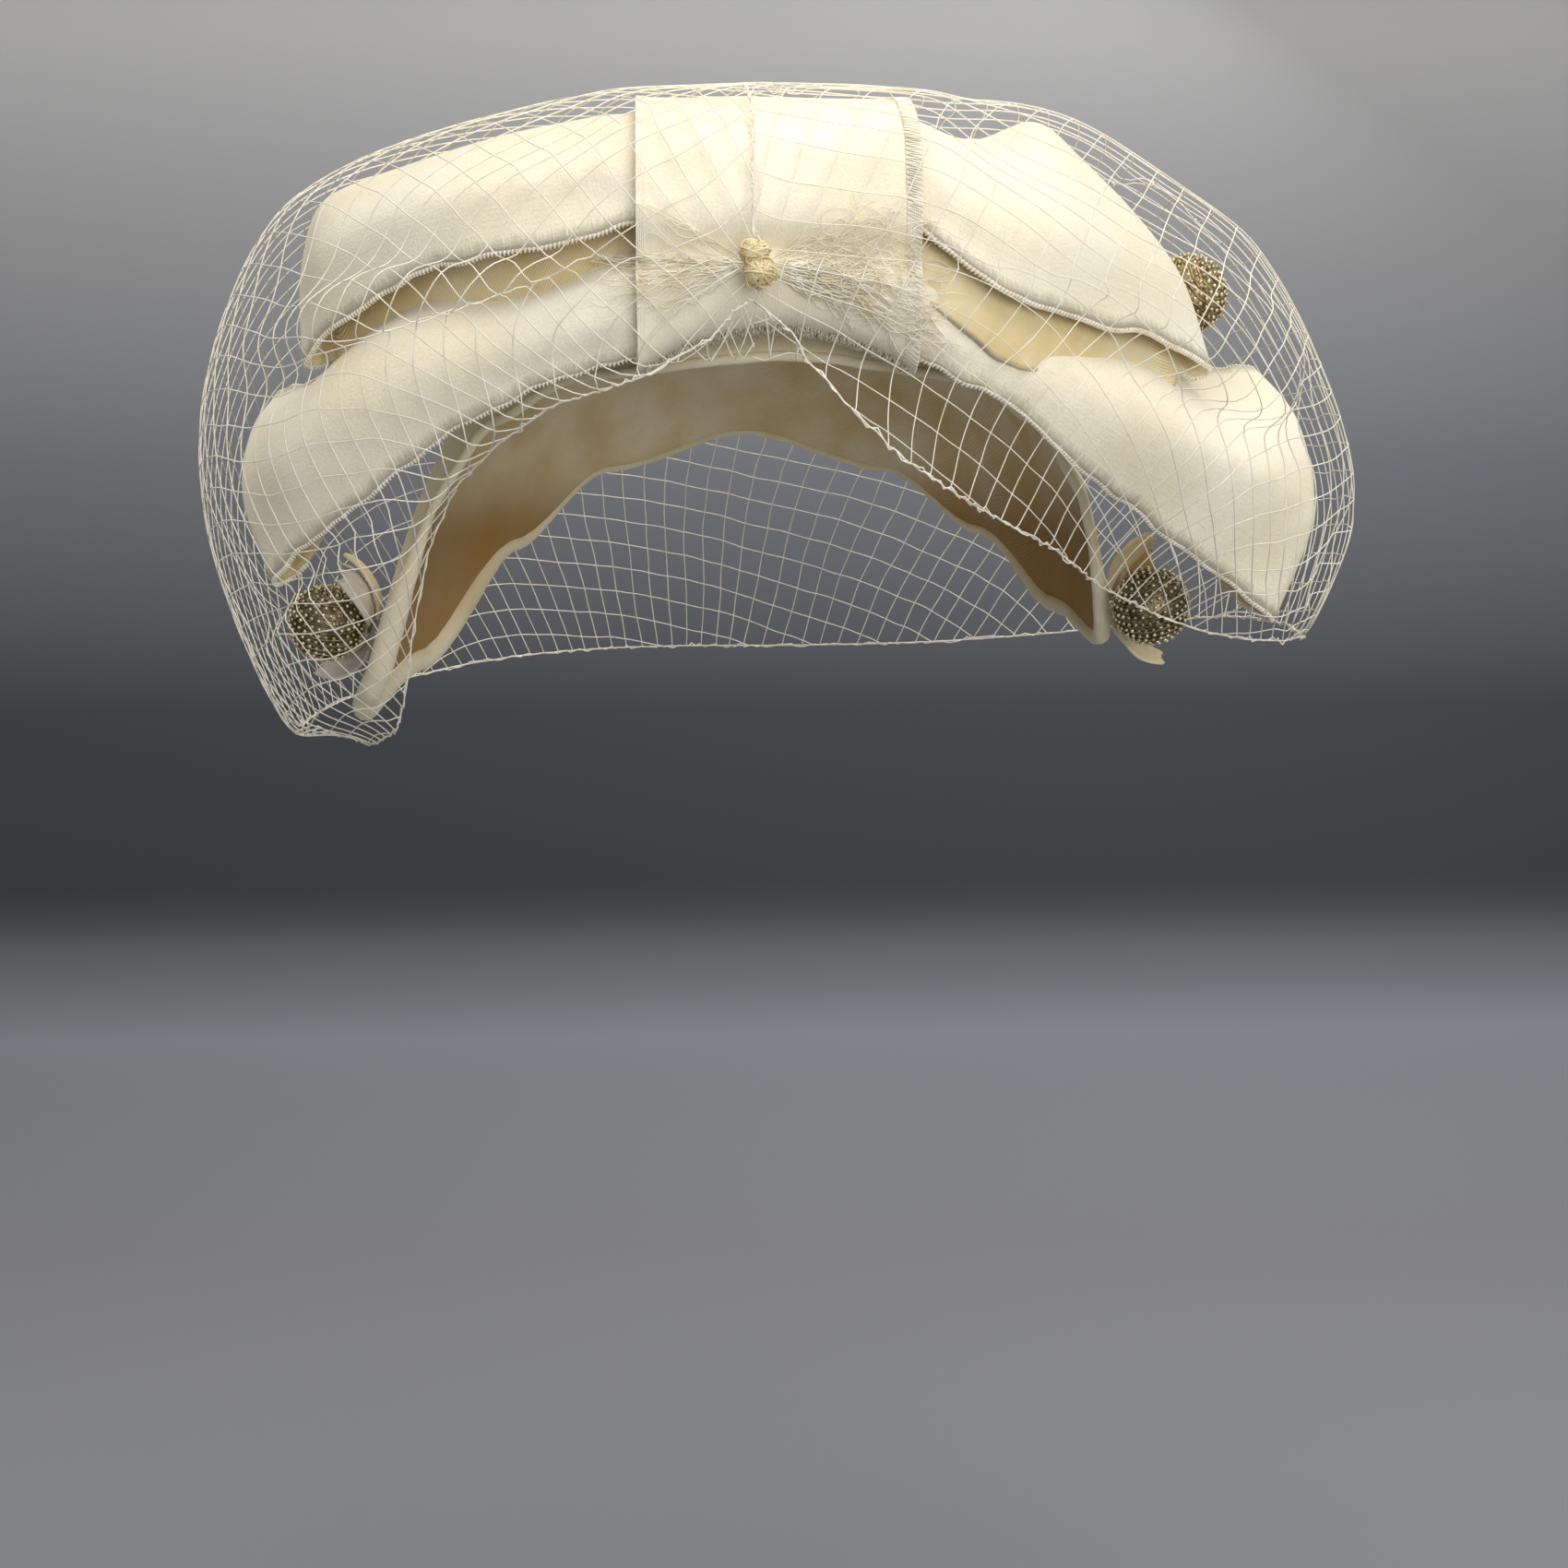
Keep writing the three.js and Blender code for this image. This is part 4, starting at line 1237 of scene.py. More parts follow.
class BallTone(Enum):
    """The two sorts of beaded ball: dark wire with pale beads, or golden all over."""

    DARK = (Finish.WIRE, Finish.BEAD)
    GOLD = (Finish.WIRE_GOLD, Finish.BEAD_GOLD)


@dataclass
class BeadedBall:
    """A ball wound with dull wire and set with rows of seed beads."""

    node: str
    tone: BallTone
    tilt: tuple = (0.3, 0.5)
    bead: float = 0.52
    row_gap: float = 1.55
    bead_gap: float = 1.6
    cover: float = 1.0
    bead_rise: float = 0.35
    wire: float = 0.3
    wobble: float = 0.12

    def turning(self) -> np.ndarray:
        """Gives the matrix that tilts the rows round X and then round Y."""
        a, b = self.tilt
        turn_x = np.array([[1, 0, 0], [0, math.cos(a), -math.sin(a)], [0, math.sin(a), math.cos(a)]])
        turn_y = np.array([[math.cos(b), 0, math.sin(b)], [0, 1, 0], [-math.sin(b), 0, math.cos(b)]])
        return turn_x @ turn_y

    def bead_mesh(self, middle: np.ndarray, radius: float, rows: int) -> bpy.types.Mesh:
        """Sets beads on a core in rows, every other row shifted by half a bead.

        Args:
            middle: of the core, in millimetres.
            radius: of the core, in millimetres.
            rows: how many gaps between rows there are from pole to pole.

        Returns:
            The beads as one mesh.
        """
        turned = self.turning()
        bm = bmesh.new()
        for r in range(rows + 1):
            polar = math.pi * r / rows
            ring = radius * math.sin(polar)
            count = max(1, int(2 * math.pi * ring / self.bead_gap))
            for k in range(count):
                turn = 2 * math.pi * (k + 0.5 * (r % 2)) / count
                flat = np.array([ring * math.cos(turn), ring * math.sin(turn), radius * math.cos(polar)])
                place = middle + turned @ (flat * (1 + self.bead_rise / radius))
                made = bmesh.ops.create_icosphere(bm, subdivisions=1, radius=self.bead * MM)
                bmesh.ops.translate(bm, verts=made["verts"], vec=Vector(place * MM))
        return smooth_mesh(bm, f"{self.node}_beads")

    def windings(self, middle: np.ndarray, radius: float, rows: int) -> list[np.ndarray]:
        """Winds the wire round a core between the rows of beads.

        Args:
            middle: of the core, in millimetres.
            radius: of the core, in millimetres.
            rows: how many turns there are from pole to pole.

        Returns:
            The points of each turn.
        """
        turned = self.turning()
        turns = np.linspace(0, 2 * math.pi, 41)
        paths = []
        for r in range(rows):
            polar = math.pi * (r + 0.5) / rows
            ring = radius * math.sin(polar)
            rise = radius * math.cos(polar) + self.wobble * np.sin(9 * turns + r)
            flat = np.stack([ring * np.cos(turns), ring * np.sin(turns), rise], axis=1)
            paths.append(middle + flat @ turned.T)
        return paths

    def build(self) -> bpy.types.Object:
        """Makes the core, the wire winding and the beads in the solid's place."""
        low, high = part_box(self.node)
        middle = middle_of(self.node)
        radius = (high.x - low.x) / 2 / MM - self.cover
        rows = int(math.pi * radius / self.row_gap)
        wire, bead = self.tone.value
        core = bmesh.new()
        bmesh.ops.create_uvsphere(core, u_segments=32, v_segments=20, radius=(radius - 0.25) * MM)
        bmesh.ops.translate(core, verts=core.verts, vec=Vector(middle * MM))
        ball = link(smooth_mesh(core, f"{self.node}_core"), f"{self.node}_core", [wire])
        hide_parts(self.node)
        beads = link(self.bead_mesh(middle, radius, rows), f"{self.node}_beads", [bead])
        winding = self.windings(middle, radius, rows)
        thread_piece(f"{self.node}_wire", winding, self.wire, wire)
        return ball


# The veil


@dataclass(frozen=True)
class VeilRing:
    """How far one ring of the veil reaches each way, and its heights there, as bow shares."""

    left: float
    right: float
    back: float
    front: float
    up_left: float
    up_right: float
    up_back: float
    up_front: float


@dataclass(frozen=True)
class HemPoint:
    """A place of the hem behind, in millimetres, and the turn from the centre back it belongs to."""

    turn: float
    x: float
    y: float
    z: float


@dataclass
class Veil:
    """A silk net of square cells, one flat sector draped over the hat and joined behind."""

    rings: tuple = (
        VeilRing(0.12, 0.2, 0.6, -0.2, 0.21, 0.21, 0.2, 0.215),
        VeilRing(0.42, 0.52, 0.83, 0.12, 0.175, 0.16, 0.15, 0.14),
        VeilRing(0.81, 0.81, 0.97, 0.5, 0.02, -0.02, 0.03, -0.05),
        VeilRing(0.98, 0.99, 1.03, 0.84, -0.28, -0.28, -0.125, -0.3),
        VeilRing(1.01, 1.09, 0.96, 1.05, -0.6, -0.57, -0.21, -0.6),
        VeilRing(0.88, 1.03, 0.92, 1.12, -0.98, -0.79, -0.28, -0.9),
    )
    hem: tuple = (
        HemPoint(-90, -110, 10, -117),
        HemPoint(-80, -101, 0, -119),
        HemPoint(-68, -90, -14, -120),
        HemPoint(-56, -83, -30, -115),
        HemPoint(-48, -80, -38, -105),
        HemPoint(-40, -78, -42, -92),
        HemPoint(-34.6, -73.5, -51, -73.5),
        HemPoint(-29.7, -66.6, -62, -59.5),
        HemPoint(-23, -56.3, -74, -50),
        HemPoint(-16.5, -44.7, -84, -42.5),
        HemPoint(-11.9, -35.5, -89, -40),
        HemPoint(-7.3, -25.3, -94, -36.5),
        HemPoint(-2.8, -12.8, -97, -28.6),
        HemPoint(-1.2, -9.5, -98, -22.5),
        HemPoint(0, -5.5, -98.6, -19.5),
        HemPoint(0.5, 1, -98.3, -20.5),
        HemPoint(1.3, 5, -98, -29),
        HemPoint(2.2, 8.5, -98, -39),
        HemPoint(5.5, 24, -94, -53),
        HemPoint(11, 39, -87, -62.5),
        HemPoint(19, 58.5, -72, -72.5),
        HemPoint(26, 71, -58, -81.5),
        HemPoint(33, 85, -44, -88),
        HemPoint(40, 96, -42, -92),
        HemPoint(49, 106.5, -42, -94),
        HemPoint(60, 117, -36, -95),
        HemPoint(75, 126, -18, -95.5),
        HemPoint(90, 129, 10, -95),
    )
    squareness: float = 2.8
    span: float = 5.4
    slant: float = -0.2
    cell: float = 7.0
    strand: float = 0.145
    clear: float = 1.0
    seam_x: float = -5.0
    pole: tuple = (4.0, -40.0, 27.5)
    turns: int = 360
    steps: int = 140
    gather: float = 0.35
    gather_reach: float = 24.0
    looseness: float = 1.1
    kink: float = 0.5
    level: float = 0.6
    halvings: int = 6
    ray_start: float = 4.0
    farthest: float = 40.0
    hem_steps: int = 560
    hem_thread: float = 0.2
    seam_thread: float = 0.15
    jitter: float = 0.3
    table: np.ndarray = field(default=None, repr=False)
    lengths: np.ndarray = field(default=None, repr=False)
    around: np.ndarray = field(default=None, repr=False)

    def line(self, turn: float, shares: np.ndarray) -> np.ndarray:
        """Gives the veil's points from its top to its hem, at one turn from the centre back."""
        sine, cosine = math.sin(turn), -math.cos(turn)

        def rounded(value: float) -> float:
            return math.copysign(abs(value) ** (2 / self.squareness), value)

        points = [np.array(self.pole)]
        for ring in self.rings:
            side, up_side = (ring.left, ring.up_left) if sine < 0 else (ring.right, ring.up_right)
            up_end = ring.up_back if cosine < 0 else ring.up_front
            middle, half = (ring.front - ring.back) / 2, (ring.front + ring.back) / 2
            x = side * BOW_REACH * rounded(sine) + self.seam_x * math.exp(-((turn / 0.35) ** 2))
            y = BOW_DEPTH * (middle + half * rounded(cosine))
            points.append(np.array([x, y, BOW_HEIGHT * (up_side * sine**2 + up_end * cosine**2)]))
        if cosine < 0:
            rows = np.array([[h.turn, h.x, h.y, h.z] for h in self.hem])
            place = [np.interp(math.degrees(turn), rows[:, 0], rows[:, k]) for k in (1, 2, 3)]
            points.append(np.array(place))
        else:
            points.append(2 * points[-1] - points[-2] - (points[-1] - points[-2]) * 0.98)
        return spline(points, shares)

    def lay_table(self, hat: BVHTree) -> None:
        """Fills the table of the draped surface, turn by turn, drawn in over the velvet.

        Args:
            hat: the surfaces that the net lies over.
        """
        shares = np.linspace(0, 1, self.steps + 1)
        turns = -np.pi + 2 * np.pi * np.arange(self.turns + 1) / self.turns
        grid = np.array([self.line(t, shares) for t in turns])
        out = unit(np.cross(np.gradient(grid, axis=1), np.gradient(grid, axis=0)))
        if out[self.turns // 2, self.steps // 2, 1] > 0:
            out = -out
        gap = self.gaps(grid, out, hat)
        behind = 0.8 * smooth_step(0.15, 0.7, -out[..., 1]) + 0.3 * smooth_step(0.6, 0.95, out[..., 2])
        hangs = smooth_step(0.9, 0.75, shares)[None, :]
        near = smooth_step(26, 12, gap)
        amount = np.where(gap > self.clear, behind * hangs * near, 1.0)
        self.table = grid - out * (amount * (gap - self.clear))[..., None]
        self.lengths = line_lengths(self.table, 1)
        ring, reach = (rows[:, int(self.level * self.steps)] for rows in (self.table, self.lengths))
        # A flat net turns by its arc over its reach. The shares of that turn run round the hat
        # from the front by the left, with the seam at one half.
        arcs = np.linalg.norm(np.diff(ring, axis=0), axis=1)
        around = np.r_[0, np.cumsum(2 * arcs / (reach[1:] + reach[:-1]))]
        seam = around[self.turns // 2]
        right = 0.5 + 0.5 * (around - seam) / (around[-1] - seam)
        self.around = np.where(around < seam, 0.5 * around / seam, right)

    def gaps(self, grid: np.ndarray, out: np.ndarray, hat: BVHTree) -> np.ndarray:
        """Measures how far the velvet is beneath the net.

        Args:
            grid: points of the net before it is drawn in.
            out: the outward direction at each.
            hat: the surfaces that the net lies over.

        Returns:
            The gap at each point in millimetres.
        """
        gap = np.full(grid.shape[:2], self.farthest)
        reach = (self.ray_start + self.farthest) * MM
        for i, j in np.ndindex(*gap.shape):
            origin = Vector((grid[i, j] + self.ray_start * out[i, j]) * MM)
            distance = hat.ray_cast(origin, Vector(-out[i, j]), reach)[3]
            if distance is not None:
                gap[i, j] = distance / MM - self.ray_start
        # The net spans hollows, so each place takes the least gap near it, smoothed.
        for _ in range(3):
            gap = np.minimum.reduce([gap, np.roll(gap, 1, axis=0), np.roll(gap, -1, axis=0)])
        for _ in range(4):
            gap[:, 1:-1] = np.minimum.reduce([gap[:, :-2], gap[:, 1:-1], gap[:, 2:]])
        for _ in range(10):
            gap[:, 1:-1] = (gap[:, :-2] + 2 * gap[:, 1:-1] + gap[:, 2:]) / 4
            gap = (np.roll(gap, 1, axis=0) + 2 * gap + np.roll(gap, -1, axis=0)) / 4
        return gap

    def column(self, angle: float) -> tuple[int, float]:
        """Finds the table's row at an angle round the flat net, and the share towards the next."""
        share = angle / self.span
        at = float(np.interp(share if share > 0 else share + 1, self.around, np.arange(self.turns + 1)))
        first = min(int(at), self.turns - 1)
        return first, at - first

    def point(self, angle: float, reach: float) -> np.ndarray:
        """Finds the draped place of a point of the flat net.

        Args:
            angle: round the flat net from its front, in radians, with the left side positive.
            reach: distance from its top, in millimetres.

        Returns:
            The place in millimetres.
        """
        first, w = self.column(angle)
        ends = [
            np.array([np.interp(reach, self.lengths[k], self.table[k, :, axis]) for axis in range(3)])
            for k in (first, first + 1)
        ]
        return ends[0] * (1 - w) + ends[1] * w

    def hem_reach(self, angle: float) -> float:
        """Gives how far from the top the flat net reaches at an angle."""
        first, w = self.column(angle)
        return float(self.lengths[first, -1] * (1 - w) + self.lengths[first + 1, -1] * w)

    def drape(self, flat: np.ndarray, pins: dict) -> np.ndarray:
        """Drapes points of the flat net, gathered towards the knot.

        Args:
            flat: points in the plane of the net.
            pins: the knot's place in that plane, seen from the left (1) and the right (-1).

        Returns:
            The places in millimetres.
        """
        placed = []
        for a, b in flat:
            pin = pins[1 if math.atan2(a, b) > 0 else -1]
            away = np.array([a, b]) - pin
            pull = (1 - self.gather) * math.exp(-((np.linalg.norm(away) / self.gather_reach) ** 2))
            a, b = pin + away * (1 - pull)
            placed.append(self.point(math.atan2(a, b), math.hypot(a, b)))
        return np.array(placed)

    def strands(self) -> list[np.ndarray]:
        """Rules the flat net and cuts each thread at the hem and at the seam."""
        widest = float(self.lengths[:, -1].max())
        reach = int(widest / self.cell) + 1
        cosine, sine = math.cos(self.slant), math.sin(self.slant)
        runs = []
        for swap in (False, True):
            for k in range(-reach, reach + 1):
                along = np.arange(-reach * self.cell, reach * self.cell, self.cell / 3)
                fixed = np.full_like(along, (k + 0.5) * self.cell)
                first, second = (fixed, along) if swap else (along, fixed)
                a, b = first * cosine - second * sine, first * sine + second * cosine
                place = np.stack([a, b, 0 * a + 40 * swap], axis=1)
                loose = self.looseness * wander(place, 30, 5) + self.kink * wander(place, 9, 6)
                flat = np.stack([a + loose, b - loose], axis=1)
                runs += self.cut_runs(flat)
        return [run for run in runs if len(run) > 2]

    def covers(self, place: np.ndarray) -> bool:
        """Tells whether a place of the plane is on the flat net."""
        angle = math.atan2(place[0], place[1])
        return abs(angle) < self.span / 2 and math.hypot(*place) < self.hem_reach(angle)

    def cut(self, inner: np.ndarray, outer: np.ndarray) -> np.ndarray:
        """Finds where a strand between a place on the net and one off it meets the hem."""
        for _ in range(self.halvings):
            middle = (inner + outer) / 2
            if self.covers(middle):
                inner = middle
            else:
                outer = middle
        return inner

    def cut_runs(self, flat: np.ndarray) -> list[np.ndarray]:
        """Cuts one ruled strand into the runs that are on the net."""
        inside = [self.covers(p) for p in flat]
        runs: list = []
        run: list = []
        for n, p in enumerate(flat):
            if inside[n]:
                if n and not run:
                    run.append(self.cut(p, flat[n - 1]))
                run.append(p)
            elif run:
                run.append(self.cut(run[-1], p))
                runs.append(np.array(run))
                run = []
        if run:
            runs.append(np.array(run))
        return runs

    def build(self, hat: BVHTree) -> list[bpy.types.Object]:
        """Makes the net, its doubled hem and the thread of its seam.

        Args:
            hat: the surfaces that the net lies over.

        Returns:
            The net, the hem and the seam.
        """
        self.lay_table(hat)
        centre = self.turns // 2
        nearest = np.argmin(np.linalg.norm(self.table[centre] - middle_of("veil_knot"), axis=1))
        at = float(self.lengths[centre][nearest])
        half = self.span / 2
        pins = {s: np.array([at * math.sin(s * half), at * math.cos(s * half)]) for s in (1, -1)}
        paths = [self.drape(run, pins) for run in self.strands()]
        net = thread_piece("veil_net", paths, self.strand, Finish.NET)
        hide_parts("veil")
        rng = np.random.default_rng(SEED)
        # The hem parts below the knot and runs down both sides of the opening.
        around = np.linspace(-half * 0.999, half * 0.999, self.hem_steps)
        reaches = [self.hem_reach(t) for t in around]
        flat = np.array([[r * math.sin(t), r * math.cos(t)] for t, r in zip(around, reaches)])
        first = self.drape(flat, pins)
        second = first + rng.normal(0, self.jitter, first.shape)
        hem = thread_piece("veil_hem", [first, second], self.hem_thread, Finish.NET)
        line = np.array([self.point(half * 0.999, r) for r in np.linspace(30, at, 60)])
        seams = [line + rng.normal(0, self.jitter, line.shape) for _ in range(3)]
        seam = thread_piece("veil_seam", seams, self.seam_thread, Finish.NET)
        return [net, hem, seam]


@dataclass(frozen=True)
class Fan:
    """The loose strands on one side of the knot, the left (-1) or the right (1)."""

    side: int
    count: int
    reach: float
    spread: float
    slant: float
    tangle: float


@dataclass
class Knot:
    """The thread wound round the gathered net, and the loose strands that fan out from it."""

    windings: int = 52
    lobes: tuple = (((0.4, -0.3, -1.9), 3.0), ((-0.6, 0.1, 1.9), 2.7))
    fans: tuple = (Fan(-1, 60, 32.0, 5.5, 1.0, 0.9), Fan(1, 85, 40.0, 10.0, -7.0, 2.4))
    thread: float = 0.22
    fan_thread: float = 0.11
    steepest: float = 6.0

    def build(self, hat: BVHTree) -> bpy.types.Object:
        """Makes the wound knot in the solid's place and the fans beside it."""
        middle = middle_of("veil_knot")
        rng = random.Random(SEED + 1)
        paths = []
        for lobe, (shift, size) in enumerate(self.lobes):
            centre = middle + np.array(shift)
            leans = ((0, 0.5), (0.2, 0.6), (1.0 if lobe else 0.2, 0.6))
            for _ in range(self.windings):
                axis = unit(np.array([rng.gauss(mean, spread) for mean, spread in leans]))
                side = unit(np.cross(axis, [0.3, 1.0, 0.2]))
                other = np.cross(axis, side)
                radius = size * rng.uniform(0.8, 1.05)
                turns = np.linspace(0, 2 * math.pi * rng.uniform(0.7, 1.3), 22)[:, None]
                wide, narrow = side * rng.uniform(0.85, 1.15), other * 0.8
                shape = radius * (np.cos(turns) * wide + np.sin(turns) * narrow)
                paths.append(centre + shape + axis * rng.uniform(-0.8, 0.8))
        knot = thread_piece("veil_knot_thread", paths, self.thread, Finish.KNOT, 1)
        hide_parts("veil_knot")
        self.build_fans(middle, hat, rng)
        return knot

    def strand(self, fan: Fan, middle: np.ndarray, rng: random.Random) -> np.ndarray:
        """Curls one loose strand sideways from the knot.

        Args:
            fan: the strands it is one of.
            middle: of the knot, in millimetres.
            rng: the source of its random shape.

        Returns:
            Its points, before it is laid on the wrap.
        """
        length = fan.reach * rng.uniform(0.45, 1.0)
        rise = rng.gauss(0, fan.spread) + fan.slant * length / fan.reach
        shares = np.linspace(0, 1, 24)
        phase, waves = rng.uniform(0, 6.3), rng.uniform(1.5, 4.5)
        curl = fan.tangle * rng.uniform(0.2, 1.3) * np.sin(waves * 6.3 * shares + phase) * shares
        sway = fan.tangle * rng.uniform(0.2, 1.0) * np.cos(waves * 5.1 * shares + 2 * phase) * shares
        x = middle[0] + fan.side * (2 + length * shares) + sway
        z = middle[2] + rise * shares**0.8 + curl
        return np.stack([x, np.full_like(x, middle[1] + 3.0), z], axis=1)

    def build_fans(self, middle: np.ndarray, hat: BVHTree, rng: random.Random) -> bpy.types.Object:
        """Spreads loose and tangled strands of the gathered net over the wrap.

        Args:
            middle: of the knot, in millimetres.
            hat: the surfaces that the strands lie over.
            rng: the source of their random shapes.

        Returns:
            The strands as one piece.
        """
        paths = []
        for fan in self.fans:
            for _ in range(fan.count):
                path = self.strand(fan, middle, rng)
                lift = rng.uniform(0.8, 2.4)
                for n, share in enumerate(np.linspace(0, 1, len(path))):
                    hit = hat.ray_cast(Vector((path[n, 0], -160, path[n, 2])) * MM, Vector((0, 1, 0)))
                    if hit[0] is not None:
                        path[n, 1] = hit[0].y / MM - lift * (0.3 + share)
                # A strand that would drop off the wrap's side is left out.
                if np.abs(np.diff(path[:, 1])).max() < self.steepest:
                    paths.append(path)
        return thread_piece("veil_gather", paths, self.fan_thread, Finish.WHITE_THREAD)


# The studio


@dataclass(frozen=True)
class Lamp:
    """A round area light in metres and watts, aimed at a target."""

    name: str
    place: tuple
    target: tuple
    size: float
    power: float
    code: str


@dataclass
class Studio:
    """A pale floor that sweeps up to a wall, soft light from above, and the camera."""

    floor_z: float = -0.42
    wall_y: float = 1.35
    bend: float = 0.5
    sweep_length: float = 4.2
    sweep_start: float = -1.6
    half_width: float = 3.2
    eye: tuple = (-0.0262, -0.6094, -0.044)
    heading: float = 3.0
    pitch: float = 8.2
    lens: float = 59.12
    world: str = "E2E2E4"
    world_strength: float = 0.36
    lamps: tuple = (
        Lamp("overhead", (0.0, -0.3, 0.95), (0.0, 0.0, 0.0), 1.2, 10.5, "FFFBF2"),
        Lamp("front_fill", (0.5, -1.55, 0.3), (0.0, 0.0, -0.05), 1.3, 14.0, "FFFDF8"),
        Lamp("rear", (0.5, 1.0, 0.7), (0.0, 0.0, 0.0), 1.0, 5.0, "FFFFFF"),
    )
    # The paper's tones are painted light and shade: pale on the floor and darkest low on the wall, where the
    # light falls off.
    floor_painted_light: tuple = ((0.08, "888A91"), (0.36, "84858B"), (0.79, "8B8F96"), (1.0, "34373B"))
    wall_painted_light: tuple = ((0.0, "34373B"), (0.16, "3F4248"), (0.45, "7E8188"), (0.97, "D2D2D3"))

    def build_camera(self) -> bpy.types.Object:
        """Sets the camera where the photograph was taken from."""
        data = bpy.data.cameras.new("photo_camera")
        data.lens = self.lens
        data.sensor_width = 36.0
        camera = bpy.data.objects.new("photo_camera", data)
        camera.location = self.eye
        camera.rotation_euler = (math.radians(90 - self.pitch), 0.0, math.radians(-self.heading))
        bpy.context.scene.collection.objects.link(camera)
        bpy.context.scene.camera = camera
        return camera

    def build(self) -> None:
        """Makes the sweep, the lights and the world."""
        self.build_sweep()
        for lamp in self.lamps:
            data = bpy.data.lights.new(lamp.name, "AREA")
            data.shape = "DISK"
            data.size = lamp.size
            data.energy = lamp.power
            data.color = linear(lamp.code)[:3]
            light = bpy.data.objects.new(lamp.name, data)
            light.location = lamp.place
            aim = Vector(lamp.target) - Vector(lamp.place)
            light.rotation_euler = aim.to_track_quat("-Z", "Y").to_euler()
            bpy.context.scene.collection.objects.link(light)
        world = bpy.data.worlds.new("studio")
        world.use_nodes = True
        background = world.node_tree.nodes["Background"]
        background.inputs["Color"].default_value = linear(self.world)
        background.inputs["Strength"].default_value = self.world_strength
        bpy.context.scene.world = world
        bpy.context.scene.view_settings.view_transform = "Standard"

    def sweep_point(self, across: float, run: float) -> tuple[float, float, float]:
        """Finds a point of the bent paper.

        Args:
            across: its place across the paper, in metres.
            run: its place along the paper, in metres.

        Returns:
            The point in metres.
        """
        start, quarter = self.wall_y - self.bend, self.bend * math.pi / 2
        if run <= start:
            return across, run, self.floor_z
        if run <= start + quarter:
            turn = (run - start) / self.bend
            rise = self.bend * (1 - math.cos(turn))
            return across, start + self.bend * math.sin(turn), self.floor_z + rise
        return across, self.wall_y, self.floor_z + self.bend + run - start - quarter

    def build_sweep(self) -> bpy.types.Object:
        """Bends a grid from floor to wall and gives it a grey paper finish, with its light and shade painted
        in as bands of tone.
        """
        bm = bmesh.new()
        bmesh.ops.create_grid(bm, x_segments=8, y_segments=60, size=1)
        for vert in bm.verts:
            run = (vert.co.y + 1) / 2 * self.sweep_length + self.sweep_start
            vert.co = self.sweep_point(vert.co.x * self.half_width, run)
        mesh = smooth_mesh(bm, "sweep")
        material, tree, shader = blank_material("grey_paper_sweep")
        place = add_node(tree, "ShaderNodeTexCoord").outputs["Object"]
        parts = add_node(tree, "ShaderNodeSeparateXYZ", {"Vector": place}).outputs
        floor, wall, side = (
            add_node(
                tree,
                "ShaderNodeMapRange",
                {"Value": parts[axis], "From Min": first, "From Max": last},
            ).outputs["Result"]
            for axis, first, last in (("Y", 0.2, 1.1), ("Z", -0.35, 0.25), ("Z", -0.385, -0.355))
        )
        # The floor's and the wall's painted light and shade, as ramps of tone.
        low, high = (
            add_node(tree, "ShaderNodeValToRGB", {"Fac": share}, tones).outputs["Color"]
            for share, tones in ((floor, self.floor_painted_light), (wall, self.wall_painted_light))
        )
        inputs = {"Factor": side, 6: low, 7: high}
        tone = add_node(tree, "ShaderNodeMix", inputs, data_type="RGBA").outputs[2]
        tree.links.new(tone, shader.inputs["Base Color"])
        shader.inputs["Roughness"].default_value = 0.8
        mesh.materials.append(material)
        sweep = bpy.data.objects.new("sweep", mesh)
        bpy.context.scene.collection.objects.link(sweep)
        return sweep


# The whole hat


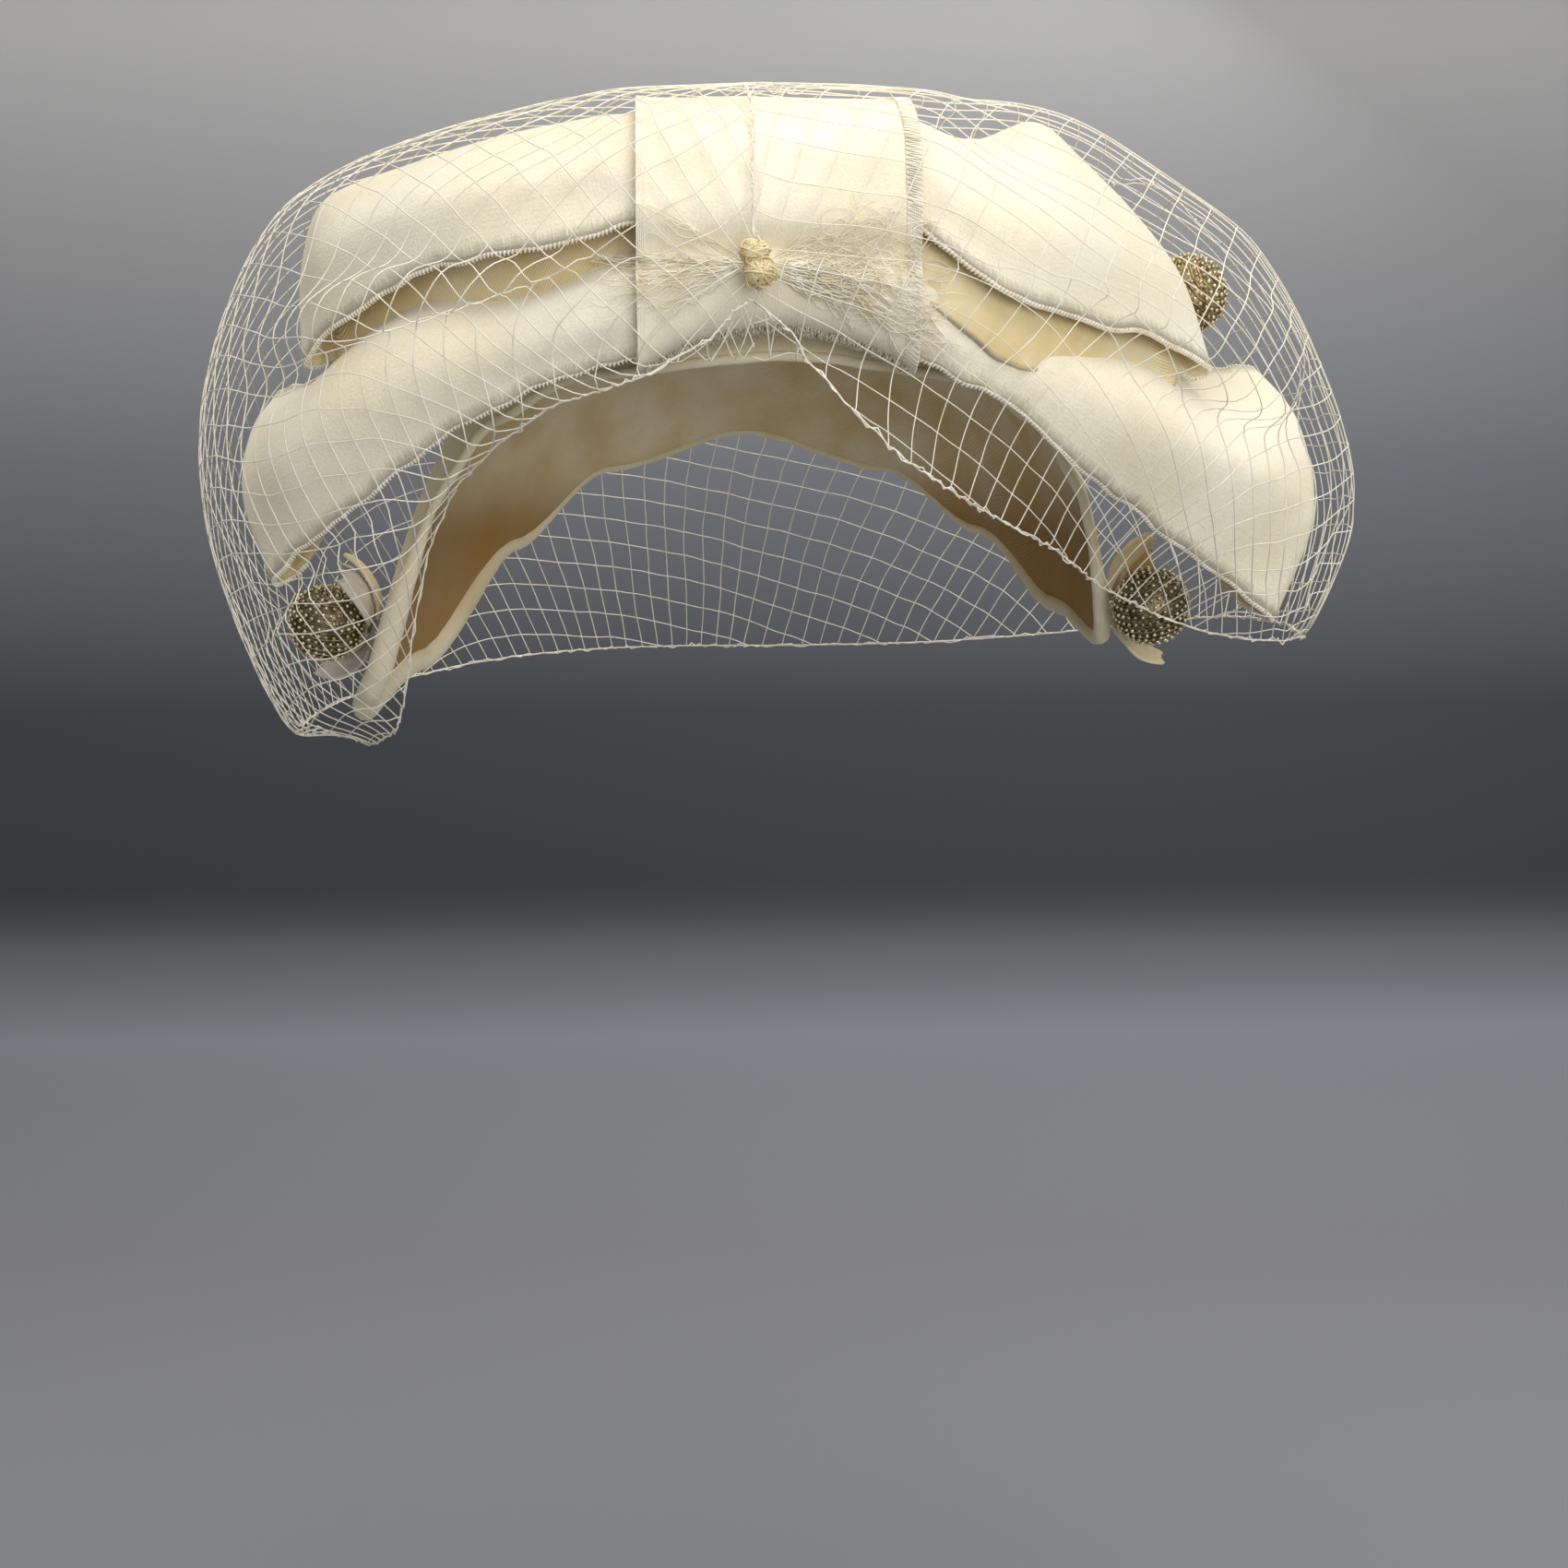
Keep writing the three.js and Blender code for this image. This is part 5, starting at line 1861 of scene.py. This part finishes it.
def tree_of(pieces: Sequence[bpy.types.Object]) -> BVHTree:
    """Gathers the finished pieces' surfaces for the net to lie over."""
    graph = bpy.context.evaluated_depsgraph_get()
    verts: list = []
    faces: list = []
    for piece in pieces:
        mesh = piece.evaluated_get(graph).to_mesh()
        start = len(verts)
        verts.extend(v.co.copy() for v in mesh.vertices)
        faces.extend([start + i for i in p.vertices] for p in mesh.polygons)
    return BVHTree.FromPolygons(verts, faces)


def main() -> None:
    """Builds the hat from the crown out, then the studio round it."""
    logging.basicConfig(level=logging.INFO, format="%(name)s: %(message)s")
    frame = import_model()
    LOG.info("frame: %d nodes", len(frame["nodes"]))
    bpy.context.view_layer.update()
    studio = Studio()
    studio.build_camera()
    velvet = [Crown().build()]
    for loop in (
        BowLoop("bow_lower_left", LOWER_LEFT, -1, 3, mouth=-5.0, tuck=1.0),
        BowLoop("bow_lower_right", LOWER_RIGHT, 1, 4, mouth=-5.0, tuck=1.0),
        BowLoop("bow_upper_left", UPPER_LEFT, -1, 1, mouth=19.0, tuck=3.0, pinch=0.35),
        BowLoop("bow_upper_right", UPPER_RIGHT, 1, 2, mouth=13.0, tuck=0.5, pinch=0.9),
    ):
        velvet.append(loop.build())
    velvet.append(BowWrap().build())
    left_tones = (Finish.PETAL_GREY, Finish.PETAL_BEIGE, Finish.PETAL_GREY)
    beige, ochre = Finish.PETAL_BEIGE, Finish.PETAL_OCHRE
    right_tones = (beige, beige, ochre, ochre, beige, beige)
    for flower in (Flower("left", -84, 1.0, -48, left_tones), Flower("right", 78, 0.93, 68, right_tones)):
        velvet.extend(flower.build())
    for ball in (
        BeadedBall("left_flower_ball", BallTone.DARK, (0.5, 0.2)),
        BeadedBall("right_flower_ball", BallTone.DARK, (0.35, -0.3)),
        BeadedBall("upper_loop_ball", BallTone.GOLD, (0.9, 0.6)),
        BeadedBall("lower_loop_ball", BallTone.GOLD, (0.2, 1.0)),
    ):
        velvet.append(ball.build())
        LOG.info("%s: beads set", ball.node)
    hat = tree_of(velvet)
    Veil().build(hat)
    Knot().build(hat)
    studio.build()
    bpy.context.view_layer.update()
    LOG.info("sizes written")


if __name__ == "__main__":
    main()
